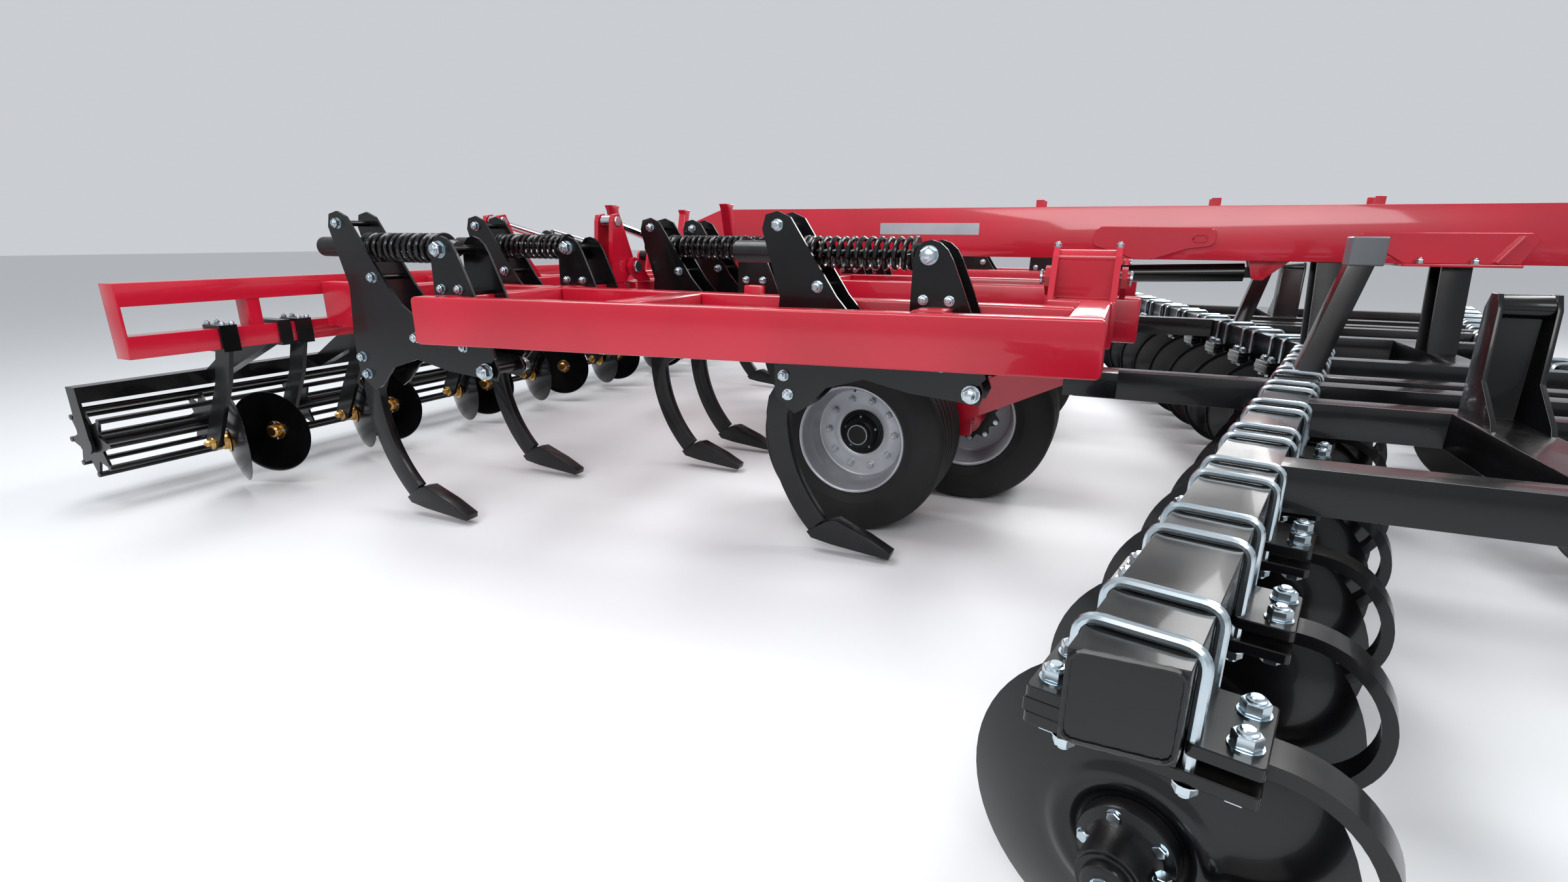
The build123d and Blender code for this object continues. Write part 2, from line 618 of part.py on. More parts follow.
# Rockshaft: a tube under the frame with a trailing arm at each end and a lever in the middle
lever_x = ROCK_X - LEVER_L * sin(radians(LEVER_LEAN))
lever_z = ROCK_Z + LEVER_L * cos(radians(LEVER_LEAN))
with BuildPart() as rockshaft:
    outer = BEAM_Y + BEAM_W / 2 + RUN + ROCK_ARM_W
    for s in (-1, 1):
        y0, y1 = sorted((s * (outer - ROCK_ARM_W), s * outer))
        plate_xz(
            [
                (BEAM_X - 40.0, TYRE_R - 55.0),
                (BEAM_X + 20.0, TYRE_R - 66.0),
                (ROCK_X + 45.0, ROCK_Z - 75.0),
                (ROCK_X + 80.0, ROCK_Z),
                (ROCK_X + 30.0, ROCK_Z + 75.0),
                (ROCK_X - 30.0, ROCK_Z + 70.0),
                (BEAM_X - 40.0, TYRE_R + 55.0),
                (BEAM_X - 70.0, TYRE_R),
            ],
            y0,
            y1,
        )
        y0, y1 = sorted((s * (BEAM_Y - BEAM_W / 2 - RUN - 12.0), s * outer))
        pin_y(BEAM_X, y0, y1, TYRE_R, BEAM_PIN_R)
        y0, y1 = sorted((s * (BEAM_Y - BEAM_W / 2 - RUN - 12.0), s * (BEAM_Y - BEAM_W / 2 - RUN)))
        pin_y(BEAM_X, y0, y1, TYRE_R, BEAM_PIN_R + 18.0)
    pin_y(ROCK_X, -outer, outer, ROCK_Z, ROCK_R)
    for y in (-LIFT_EYE_HALF - RUN - LUG_T, LIFT_EYE_HALF + RUN):
        plate_xz(
            [
                (ROCK_X - 60.0, ROCK_Z),
                (ROCK_X + 60.0, ROCK_Z),
                (lever_x + LEVER_W, lever_z + 5.0),
                (lever_x + LEVER_W * 0.5, lever_z + LEVER_W),
                (lever_x - LEVER_W * 0.5, lever_z + LEVER_W),
                (lever_x - LEVER_W, lever_z - 5.0),
            ],
            y,
            y + LUG_T,
        )
finish(rockshaft, "rockshaft")

# Lift cylinder, from its base under the tongue back to the lever
lift_run = (lever_x - LIFT_BASE_X, lever_z - LIFT_BASE_Z)
lift_length = (lift_run[0] ** 2 + lift_run[1] ** 2) ** 0.5
lift_x = lift_run[0] / lift_length
lift_z = lift_run[1] / lift_length
lift_place = Plane((LIFT_BASE_X, 0, LIFT_BASE_Z), x_dir=(lift_x, 0, lift_z), z_dir=(lift_z, 0, -lift_x))

with BuildPart() as lift_barrel:
    with Locations(lift_place):
        add(barrel(LIFT_NECK, LIFT_BARREL_END, LIFT_BARREL_R, 9.0, LIFT_ROD_R, LIFT_EYE_R, LIFT_EYE_HALF, LIFT_PIN_R))
finish(lift_barrel, "lift_barrel")

with BuildPart() as lift_rod:
    piston_r = LIFT_BARREL_R - 9.0 - SEAT
    pin_half = LIFT_EYE_HALF + RUN - PIN_PLAY
    with Locations(lift_place):
        add(rod(lift_length, LIFT_ROD_L, LIFT_ROD_R, piston_r, LIFT_EYE_R - 4.0, LIFT_EYE_HALF, LIFT_PIN_R, pin_half))
finish(lift_rod, "lift_rod")

# Walking beams with the spindles of their two wheels
with BuildPart() as walking_beam:
    plate_xz(
        [
            (AXLE_X - 60.0, TYRE_R - 45.0),
            (BEAM_X - 60.0, TYRE_R - 70.0),
            (BEAM_X + 60.0, TYRE_R - 70.0),
            (AXLE_X + AXLE_STEP + 60.0, TYRE_R - 45.0),
            (AXLE_X + AXLE_STEP + 60.0, TYRE_R + 45.0),
            (BEAM_X + 60.0, TYRE_R + 70.0),
            (BEAM_X - 60.0, TYRE_R + 70.0),
            (AXLE_X - 60.0, TYRE_R + 45.0),
        ],
        BEAM_Y - BEAM_W / 2,
        BEAM_Y + BEAM_W / 2,
    )
    pin_y(AXLE_X, BEAM_Y, BEAM_Y + WHEEL_OFFSET - 25.0, TYRE_R, SPINDLE_R)
    pin_y(AXLE_X + AXLE_STEP, BEAM_Y - WHEEL_OFFSET + 25.0, BEAM_Y, TYRE_R, SPINDLE_R)
    pin_y(BEAM_X, BEAM_Y - BEAM_W / 2, BEAM_Y + BEAM_W / 2, TYRE_R, BEAM_PIN_R + SEAT, mode=Mode.SUBTRACT)
finish_pair(walking_beam, "walking_beam")

# Wheels: half sections of radius and distance from the tyre's middle, outboard of the beam positive
RIM_SECTION = (
    (RIM_R, -RIM_W / 2),
    (RIM_R, -RIM_W / 2 + 10.0),
    (248.0, -RIM_W / 2 + 13.0),
    (246.0, -100.0),
    (232.0, -80.0),
    (232.0, 90.0),
    (246.0, 110.0),
    (248.0, RIM_W / 2 - 13.0),
    (RIM_R, RIM_W / 2 - 10.0),
    (RIM_R, RIM_W / 2),
    (240.0, RIM_W / 2),
    (236.0, 116.0),
    (222.0, 94.0),
    (222.0, 10.0),
    (110.0, 10.0),
    (110.0, -6.0),
    (222.0, -6.0),
    (222.0, -84.0),
    (236.0, -106.0),
    (240.0, -RIM_W / 2),
)
HUB_SECTION = (
    (0.0, 75.0),
    (52.0, 75.0),
    (52.0, 55.0),
    (80.0, 48.0),
    (109.0, 24.0),
    (109.0, -6.0),
    (150.0, -6.0),
    (150.0, -26.0),
    (88.0, -60.0),
    (80.0, -170.0),
    (60.0, -180.0),
    (SPINDLE_R + SEAT, -180.0),
    (SPINDLE_R + SEAT, -24.0),
    (0.0, -24.0),
)
TYRE_SECTION = (
    (248.3, -168.0),
    (262.8, -168.0),
    (264.0, -176.0),
    (300.0, -TYRE_W / 2 + 4.0),
    (350.0, -TYRE_W / 2),
    (400.0, -TYRE_W / 2 + 12.0),
    (437.0, -165.0),
    (TYRE_R, -120.0),
    (TYRE_R, 120.0),
    (437.0, 165.0),
    (400.0, TYRE_W / 2 - 12.0),
    (350.0, TYRE_W / 2),
    (300.0, TYRE_W / 2 - 4.0),
    (264.0, 176.0),
    (262.8, 168.0),
    (248.3, 168.0),
)


def turned(section):
    """A solid of revolution about Y from a half section of radius and distance along the axis."""
    with BuildPart() as blank:
        with BuildSketch(Plane.XY) as half:
            Polygon(*section, align=None)
        revolve(half.sketch, axis=Axis.Y)
    return blank.part


WHEELS = (
    ("outer", AXLE_X, BEAM_Y + WHEEL_OFFSET, 1),
    ("inner", AXLE_X + AXLE_STEP, BEAM_Y - WHEEL_OFFSET, -1),
)
for place, wheel_x, wheel_y, facing in WHEELS:
    turn = Location((wheel_x, wheel_y, TYRE_R), (0, 0, 0 if facing > 0 else 180))
    with BuildPart() as tyre:
        with Locations(turn):
            add(turned(TYRE_SECTION))
    finish_pair(tyre, f"tyre_{place}")
    with BuildPart() as rim:
        with Locations(turn):
            add(turned(RIM_SECTION))
            add(turned(HUB_SECTION))
    finish_pair(rim, f"wheel_{place}")


# Gang beams: the rear one sweeps back and the front one forward, each split at the fold hinge
def gang_beam(start, y0, y1):
    """Add a swept gang beam between two distances from the centre line to the open part."""
    half = GANG_W / 2 / cos(radians(GANG_SWEEP))
    with BuildSketch(Plane.XY.offset(GANG_BOTTOM)) as beam:
        Polygon(
            (gang_x(start, y0) - half, y0),
            (gang_x(start, y0) + half, y0),
            (gang_x(start, y1) + half, y1),
            (gang_x(start, y1) - half, y1),
            align=None,
        )
    extrude(beam.sketch, amount=GANG_W)


def carrier(y):
    """Add a tube from a block under the front cross tube to the rear gang beam to the open part."""
    half = GANG_W / 2 / cos(radians(GANG_SWEEP))
    start = FRONT_X - CARRIER_LAP
    y0, y1 = y - LONG_W / 2, y + LONG_W / 2
    with BuildSketch(Plane.XY.offset(GANG_TOP - SPACER_H)) as tube:
        Polygon(
            (start, y0),
            (gang_x(REAR_GANG_X, y0) - half, y0),
            (gang_x(REAR_GANG_X, y1) - half, y1),
            (start, y1),
            align=None,
        )
    extrude(tube.sketch, amount=SPACER_H)
    bar(start, FRONT_X + CROSS_W / 2, y0, y1, GANG_TOP - SPACER_H, FRAME_BOTTOM)


def spacer(y):
    """Add a tube between the two gang beams, level with their tops, to the open part."""
    half = GANG_W / 2 / cos(radians(GANG_SWEEP))
    y0, y1 = y - LONG_W / 2, y + LONG_W / 2
    with BuildSketch(Plane.XY.offset(GANG_TOP - SPACER_H)) as tube:
        Polygon(
            (gang_x(REAR_GANG_X, y0) + half, y0),
            (gang_x(FRONT_GANG_X, y0) - half, y0),
            (gang_x(FRONT_GANG_X, y1) - half, y1),
            (gang_x(REAR_GANG_X, y1) + half, y1),
            align=None,
        )
    extrude(tube.sketch, amount=SPACER_H)


with BuildPart() as centre_gang_frame:
    for start in (REAR_GANG_X, FRONT_GANG_X):
        gang_beam(start, 0.0, GANG_SPLIT_Y - GANG_SPLIT_GAP)
    for y in CENTRE_SPACERS:
        spacer(y)
    # Cross tube between the inner spacers, and hangers from it and from the rear beam up to the tongue
    tie_y = CENTRE_SPACERS[0] - LONG_W / 2
    bar(HANGER_X - 60.0, HANGER_X + 60.0, 0.0, tie_y, GANG_TOP - SPACER_H, GANG_TOP)
    for x in (HANGER_X, REAR_GANG_X):
        plate_xz(
            [
                (x - 60.0, GANG_TOP),
                (x + 60.0, GANG_TOP),
                (x + 35.0, TONGUE_TOP - TONGUE_DEPTH),
                (x - 85.0, TONGUE_TOP - TONGUE_DEPTH),
            ],
            TONGUE_W / 2 - 30.0,
            TONGUE_W / 2 - 10.0,
        )
    # Rest post on the inner end of the rear beam
    post_x = gang_x(REAR_GANG_X, STRUT_Y) + 20.0
    plate_xz(
        [
            (post_x - STRUT_W / 2, GANG_TOP),
            (post_x + STRUT_W / 2, GANG_TOP),
            (post_x + STRUT_LEAN + STRUT_W / 2, STRUT_TOP),
            (post_x + STRUT_LEAN - STRUT_W / 2, STRUT_TOP),
        ],
        STRUT_Y - STRUT_W / 2,
        STRUT_Y + STRUT_W / 2,
    )
    mirror(about=Plane.XZ)
finish(centre_gang_frame, "centre_gang_frame")

with BuildPart() as wing_gang_frame:
    gang_beam(REAR_GANG_X, GANG_SPLIT_Y, GANG_END_Y)
    gang_beam(FRONT_GANG_X, GANG_SPLIT_Y, FRONT_GANG_END_Y)
    carrier(CARRIER_Y)
    for y in WING_SPACERS:
        spacer(y)
    y0, y1 = BLOCK_Y - BLOCK_W / 2, BLOCK_Y + BLOCK_W / 2
    bar(FRONT_X - CROSS_W / 2, FRONT_X + CROSS_W, y0, y1, GANG_TOP, FRAME_BOTTOM)
    # Cross tube between two spacers, and the upright bracket on it
    y0, y1 = WING_SPACERS[1] + LONG_W / 2, WING_SPACERS[2] - LONG_W / 2
    bar(TIE_X - TIE_W / 2, TIE_X + TIE_W / 2, y0, y1, GANG_TOP - SPACER_H, GANG_TOP)
    for face in (-1, 1):
        near = TIE_X + face * BRACKET_IN
        far = near + face * BRACKET_PLATE
        plate_yz(
            [
                (BRACKET_Y, GANG_TOP),
                (BRACKET_Y + 250.0, GANG_TOP),
                (BRACKET_Y + 235.0, GANG_TOP + 25.0),
                (BRACKET_Y + 105.0, GANG_TOP + 130.0),
                (BRACKET_Y + 85.0, BRACKET_TOP - 45.0),
                (BRACKET_Y + 60.0, BRACKET_TOP),
                (BRACKET_Y + 15.0, BRACKET_TOP),
                (BRACKET_Y - 10.0, BRACKET_TOP - 45.0),
            ],
            min(near, far),
            max(near, far),
        )
    bar(TIE_X - BRACKET_IN, TIE_X + BRACKET_IN, BRACKET_Y, BRACKET_Y + 15.0, GANG_TOP, BRACKET_TOP - 50.0)
    pin_x(TIE_X - BRACKET_IN, TIE_X + BRACKET_IN, BRACKET_Y + 38.0, BRACKET_TOP - 38.0, FOLD_EYE_R)
finish_pair(wing_gang_frame, "wing_gang_frame")


def blade(radius, dish, thickness):
    """A dished disc about X, with its back at the origin and its hollow face towards +X."""
    curve_r = (radius**2 + dish**2) / (2 * dish)
    inner_r = curve_r - thickness
    half = atan2(radius, curve_r - dish)
    rim_x = curve_r - inner_r * cos(half)
    rim_y = inner_r * sin(half)
    with BuildPart() as blank:
        with BuildSketch(Plane.XY) as section:
            with BuildLine():
                outside = ThreePointArc(
                    (0, 0), (curve_r - curve_r * cos(half / 2), curve_r * sin(half / 2)), (dish, radius)
                )
                Line(outside @ 1, (rim_x, rim_y))
                ThreePointArc(
                    (rim_x, rim_y),
                    (curve_r - inner_r * cos(half / 2), inner_r * sin(half / 2)),
                    (thickness, 0),
                )
                Line((thickness, 0), (0, 0))
            make_face()
        revolve(section.sketch, axis=Axis.X)
    return blank.part


# Disc units, from the middle of the beam's underside: clamp plate, C-shaped spring arm, and hub.
# The arm runs forward from the clamp, bends down and comes back under the beam to the hub.
bend_r = (GANG_BOTTOM - DISC_Z) / 2
bend_x = C_ARM_REACH - bend_r
with BuildPart() as c_arm:
    with BuildSketch(Plane.XZ) as arm:
        with BuildLine():
            Line((-90.0, 0.0), (bend_x, 0.0))
            ThreePointArc((bend_x, 0.0), (bend_x + bend_r, -bend_r), (bend_x, -2 * bend_r))
            Line((bend_x, -2 * bend_r), (-30.0, -2 * bend_r))
            Line((-30.0, -2 * bend_r), (-30.0, C_ARM_T - 2 * bend_r))
            Line((-30.0, C_ARM_T - 2 * bend_r), (bend_x, C_ARM_T - 2 * bend_r))
            ThreePointArc(
                (bend_x, C_ARM_T - 2 * bend_r), (bend_x + bend_r - C_ARM_T, -bend_r), (bend_x, -C_ARM_T)
            )
            Line((bend_x, -C_ARM_T), (-90.0, -C_ARM_T))
            Line((-90.0, -C_ARM_T), (-90.0, 0.0))
        make_face()
    extrude(arm.sketch, amount=C_ARM_W / 2, both=True)
arm_eye_z = C_ARM_T / 2 - 2 * bend_r


def disc_places(start, table):
    """Places of disc units under a gang beam, turned to lie square to it."""
    lean = GANG_SWEEP if start == REAR_GANG_X else -GANG_SWEEP
    return [Location((gang_x(start, y), y, GANG_BOTTOM), (0, 0, lean)) for y in table]


def disc_side(start):
    """Turn of a disc's axis in its unit: rear discs look inward and front discs outward, both forward."""
    turn = 90.0 - DISC_ANGLE + GANG_SWEEP
    return -turn if start == REAR_GANG_X else turn


def disc_units(tables, hubs):
    """Add the arms with their hubs, or the discs, of one section of the machine to the open part."""
    for start, table in tables:
        turn = Location((0, 0, arm_eye_z), (0, 0, disc_side(start)))
        with BuildPart() as unit:
            if hubs:
                add(c_arm.part)
                with Locations(turn):
                    with Locations(Location((DISC_OFFSET / 2 - 15.0, 0, 0), (0, 90, 0))):
                        Cylinder(DISC_HUB_R, DISC_OFFSET + 30.0 - 2 * SEAT)
            else:
                with Locations(turn):
                    with Locations((DISC_OFFSET, 0, 0)):
                        add(gang_blade)
        yield from (place * unit.part for place in disc_places(start, table))


gang_blade = blade(DISC_R, DISC_DISH, DISC_T)
WING_GANGS = ((REAR_GANG_X, REAR_DISCS), (FRONT_GANG_X, FRONT_DISCS))
CENTRE_GANGS = ((REAR_GANG_X, CENTRE_DISCS), (FRONT_GANG_X, CENTRE_DISCS))

for hubs, name in ((True, "disc_arms"), (False, "discs")):
    with BuildPart() as wing_discs:
        for unit in disc_units(WING_GANGS, hubs):
            add(unit)
    finish_pair(wing_discs, f"wing_{name}")
    with BuildPart() as centre_discs:
        for unit in disc_units(CENTRE_GANGS, hubs):
            add(unit)
        mirror(about=Plane.XZ)
    finish(centre_discs, f"centre_{name}")

# Trip shanks, from the pivot of the holder: a bracket clamped on a cross tube, and a holder that
# hangs from its pin behind the tube, with the tine below and the lever for the spring above
BRACKET = (
    (-45.0, -30.0),
    (-255.0, 55.0),
    (-255.0, 330.0),
    (-250.0, 490.0),
    (-238.0, 531.0),
    (-213.0, 557.0),
    (-182.0, 563.0),
    (-150.0, 553.0),
    (-122.0, 529.0),
    (-100.0, 492.0),
    (-49.0, 373.0),
    (-20.0, 300.0),
    (50.0, 60.0),
)
HOLDER = (
    (-868.0, 655.0),
    (-815.0, 668.0),
    (-760.0, 645.0),
    (-560.0, 343.0),
    (-491.0, 266.0),
    (-285.0, 125.0),
    (-240.0, 76.0),
    (30.0, 45.0),
    (48.0, 0.0),
    (30.0, -45.0),
    (-245.0, -20.0),
    (-437.0, 20.0),
    (-600.0, -30.0),
    (-690.0, -120.0),
    (-740.0, -150.0),
    (-830.0, -80.0),
    (-835.0, 100.0),
    (-807.0, 334.0),
    (-885.0, 600.0),
)
HOLDER_BOLTS = ((-815.0, 615.0), (-640.0, 380.0), (-420.0, 120.0))
TINE_BOLTS = ((-770.0, -70.0), (-790.0, 10.0))
holder_out = HOLDER_IN + HOLDER_T
bracket_in = holder_out + 2.0
bracket_out = bracket_in + BRACKET_T


def cheeks(points, inner, thickness):
    """Add a pair of plates with one outline, a distance each side of the middle, to the open part."""
    plate_xz(points, -inner - thickness, -inner)
    plate_xz(points, inner, inner + thickness)


with BuildPart() as trip_frame:
    cheeks(BRACKET, bracket_in, BRACKET_T)
    pin_y(-190.0, -bracket_out, bracket_out, 508.0, 18.0)
    fit = SEAT
    x0, x1 = -PIVOT_AHEAD - CROSS_W / 2 - fit, -PIVOT_AHEAD + CROSS_W / 2 + fit
    z0, z1 = FRAME_BOTTOM - PIVOT_Z - fit, FRAME_TOP - PIVOT_Z + fit
    bar(x0 - 14.0, x0, -bracket_out, bracket_out, z0 - 10.0, z1 + 14.0)
    bar(x0, x1, -bracket_out, bracket_out, z1, z1 + 14.0)
    bar(x0, x1, -bracket_out, bracket_out, z0, z1, mode=Mode.SUBTRACT)
    cheeks(HOLDER, HOLDER_IN, HOLDER_T)
    bar(x0, x1, -holder_out, holder_out, z0, z1, mode=Mode.SUBTRACT)
    pin_y(0.0, -bracket_out - 6.0, bracket_out + 6.0, 0.0, PIVOT_R)
    for x, z in HOLDER_BOLTS:
        pin_y(x, -holder_out, holder_out, z, 13.0)
    for x, z in TINE_BOLTS:
        pin_y(x, TINE_T / 2 + SEAT, HOLDER_IN, z, 16.0)
        pin_y(x, -HOLDER_IN, -TINE_T / 2 - SEAT, z, 16.0)
    # Seat of the spring between the levers
    bar(SPRING_REAR - 18.0, SPRING_REAR - 2.0, -HOLDER_IN, HOLDER_IN, SPRING_Z - 40.0, SPRING_Z + 40.0)

inner_r = TINE_ARC_R - TINE_W / 2
outer_r = TINE_ARC_R + TINE_W / 2


def on_arc(radius, sweep):
    """Point of the tine's arc at a radius and an angle down from its top end."""
    angle = radians(180.0 + sweep)
    return TINE_ARC_X + radius * cos(angle), TINE_ARC_Z + radius * sin(angle)


with BuildPart() as tine:
    with BuildSketch(Plane.XZ) as shape:
        with BuildLine():
            Polyline(
                on_arc(outer_r, 0.0),
                (-890.0, -100.0),
                (-800.0, 40.0),
                (-700.0, 40.0),
                (-740.0, -60.0),
                on_arc(inner_r, 0.0),
            )
            ThreePointArc(on_arc(inner_r, 0.0), on_arc(inner_r, TINE_SWEEP / 2), on_arc(inner_r, TINE_SWEEP))
            Line(on_arc(inner_r, TINE_SWEEP), on_arc(outer_r, TINE_SWEEP))
            ThreePointArc(on_arc(outer_r, TINE_SWEEP), on_arc(outer_r, TINE_SWEEP / 2), on_arc(outer_r, 0.0))
        make_face()
    extrude(shape.sketch, amount=TINE_T / 2, both=True)
    plate_xz(
        [
            (-700.0, -700.0),
            (-610.0, -640.0),
            (-559.0, -629.0),
            (-414.0, -686.0),
            (-307.0, -742.0),
            (-314.0, -770.0),
            (-350.0, -767.0),
            (-581.0, -743.0),
            (-677.0, -726.0),
        ],
        -SHARE_W / 2,
        SHARE_W / 2,
    )

# Trip spring on its rod, drawn as a row of coils about a sleeve
turn_l = (SPRING_FRONT - SPRING_REAR) / SPRING_TURNS
coils = [(SPRING_REAR, SPRING_R - SPRING_WIRE)]
for turn in range(SPRING_TURNS):
    start_x = SPRING_REAR + turn * turn_l
    coils.append((start_x, SPRING_R - SPRING_WIRE / 2))
    coils.append((start_x + turn_l / 2, SPRING_R))
coils.append((SPRING_FRONT, SPRING_R - SPRING_WIRE / 2))
coils.append((SPRING_FRONT, SPRING_R - SPRING_WIRE))


def trip_spring(sleeve_end):
    """A spring along X with its axis through the origin, and a sleeve that ends behind its levers."""
    with BuildPart() as blank:
        with BuildSketch(Plane.XY) as section:
            Polygon(*coils, align=None)
        revolve(section.sketch, axis=Axis.X)
        pin_x(SPRING_FRONT, SPRING_FRONT + 12.0, 0.0, 0.0, SPRING_R)
        pin_x(SPRING_REAR, SPRING_FRONT + 53.5, 0.0, 0.0, 16.0)
        pin_x(SPRING_REAR - 2.0, SPRING_REAR, 0.0, 0.0, SPRING_R)
        pin_x(sleeve_end, SPRING_REAR - 18.0 - SEAT, 0.0, 0.0, SLEEVE_R)
    return blank.part


def shank_blocks(table):
    """Places of the shanks of a table on their cross tubes."""
    return [Location((station + PIVOT_AHEAD, y, PIVOT_Z)) for station, y in table]


for piece, name in ((trip_frame, "trip_frames"), (tine, "tines")):
    with BuildPart() as wing_piece:
        with Locations(*shank_blocks(WING_SHANKS)):
            add(piece.part)
    finish_pair(wing_piece, f"wing_{name}")
    with BuildPart() as centre_piece:
        with Locations(*shank_blocks(CENTRE_SHANKS)):
            add(piece.part)
        mirror(about=Plane.XZ)
    finish(centre_piece, f"centre_{name}")

with BuildPart() as wing_springs:
    with Locations(*[place * Location((0, 0, SPRING_Z)) for place in shank_blocks(WING_SHANKS)]):
        add(trip_spring(SLEEVE_END))
finish_pair(wing_springs, "wing_springs")

with BuildPart() as centre_springs:
    with Locations(*[place * Location((0, 0, SPRING_Z)) for place in shank_blocks(CENTRE_SHANKS)]):
        add(trip_spring(SHORT_SLEEVE_END))
    mirror(about=Plane.XZ)
finish(centre_springs, "centre_springs")


# Rear frame of a section: two bars across, uprights between them, and arms from the last cross tube
def rear_frame(y0, y1, arms, uprights):
    """Add the rear bars from one distance to another, with their arms and uprights, to the open part."""
    bar(BAR_X - BAR_W / 2, BAR_X + BAR_W / 2, y0, y1, UPPER_BAR_TOP - BAR_W, UPPER_BAR_TOP)
    bar(BAR_X - BAR_W / 2, BAR_X + BAR_W / 2, y0, y1, LOWER_BAR_TOP - BAR_W, LOWER_BAR_TOP)
    for y in arms:
        front = LAST_X - CROSS_W / 2
        bar(BAR_X + BAR_W / 2, front, y - REAR_ARM_W / 2, y + REAR_ARM_W / 2, LOWER_BAR_TOP - 40.0, FRAME_TOP)
    for y in uprights:
        bar(BAR_X - 45.0, BAR_X + 45.0, y - 30.0, y + 30.0, LOWER_BAR_TOP, UPPER_BAR_TOP - BAR_W)


with BuildPart() as wing_rear_frame:
    rear_frame(BAR_SPLIT_Y, WING_BAR_END_Y, WING_REAR_ARMS, (BAR_SPLIT_Y + 60.0, 2350.0))
    z0, z1 = LOWER_BAR_TOP - BAR_W, UPPER_BAR_TOP
    bar(BAR_X - BAR_W / 2, BAR_X + BAR_W / 2, WING_BAR_END_Y, WING_BAR_END_Y + 12.0, z0, z1)
finish_pair(wing_rear_frame, "wing_rear_frame")

with BuildPart() as centre_rear_frame:
    rear_frame(0.0, BAR_SPLIT_Y - BAR_GAP, CENTRE_REAR_ARMS, (BAR_SPLIT_Y - BAR_GAP - 30.0,))
    mirror(about=Plane.XZ)
finish(centre_rear_frame, "centre_rear_frame")


# Levelling discs: an arm clamped round the lower bar, with a hub and a small dished disc at its foot
with BuildPart() as level_arm:
    half = BAR_W / 2 + SEAT
    z0, z1 = LOWER_BAR_TOP - BAR_W - SEAT, LOWER_BAR_TOP + SEAT
    bar(-half - 16.0, half + 16.0, -40.0, 40.0, z1, z1 + 14.0)
    bar(-half - 16.0, half + 16.0, -40.0, 40.0, z0 - 14.0, z0)
    bar(-half - 16.0, -half, -40.0, 40.0, z0, z1)
    bar(half, half + 16.0, -40.0, 40.0, z0, z1)
    plate_xz(
        [
            (-60.0, z0 - 10.0),
            (50.0, z0 - 10.0),
            (-10.0, 640.0),
            (-LEVEL_BACK + 50.0, LEVEL_Z - 20.0),
            (-LEVEL_BACK, LEVEL_Z - 45.0),
            (-LEVEL_BACK - 45.0, LEVEL_Z),
            (-LEVEL_BACK - 20.0, LEVEL_Z + 60.0),
            (-120.0, 640.0),
        ],
        -10.0,
        10.0,
    )

level_blade = blade(LEVEL_R, LEVEL_DISH, DISC_T)


def level_turn(facing):
    """Place of a levelling disc's axis in its unit, with +X along the axis."""
    return Location((-LEVEL_BACK, 0, LEVEL_Z), (0, 0, facing * (90.0 - LEVEL_ANGLE)))


def level_units(table, arms):
    """Solids of the levelling arms, or of the discs with their hubs, of a table."""
    for y, facing in table:
        with BuildPart() as unit:
            if arms:
                add(level_arm.part)
                with Locations(level_turn(facing)):
                    with Locations(Location((LEVEL_OFFSET / 2, 0, 0), (0, 90, 0))):
                        Cylinder(LEVEL_HUB_R, LEVEL_OFFSET - 2 * SEAT)
            else:
                with Locations(level_turn(facing)):
                    with Locations((LEVEL_OFFSET, 0, 0)):
                        add(level_blade)
        yield Location((BAR_X, y, 0)) * unit.part


# Rollers: a cage of round bars on star plates, and the tube and arms that carry it
def star(y, thickness):
    """Add a star plate of a roller to the open part."""
    points = []
    for tip in range(2 * ROLLER_BARS):
        radius = ROLLER_R - 6.0 if tip % 2 == 0 else ROLLER_R * 0.55
        angle = radians(tip * 180.0 / ROLLER_BARS)
        points.append((ROLLER_X + radius * cos(angle), ROLLER_Z + radius * sin(angle)))
    plate_xz(points, y - thickness / 2, y + thickness / 2)


def roller(y0, y1, stars):
    """Add a cage roller between two distances from the centre line to the open part."""
    pin_y(ROLLER_X, y0 - BEARING_T - RUN, y1 + BEARING_T + RUN, ROLLER_Z, ROLLER_SHAFT_R)
    for tip in range(ROLLER_BARS):
        angle = radians(tip * 360.0 / ROLLER_BARS)
        radius = ROLLER_R - ROLLER_BAR_R
        pin_y(ROLLER_X + radius * cos(angle), y0, y1, ROLLER_Z + radius * sin(angle), ROLLER_BAR_R)
    for index in range(stars):
        star(y0 + 8.0 + (y1 - y0 - 16.0) * index / (stars - 1), 12.0)


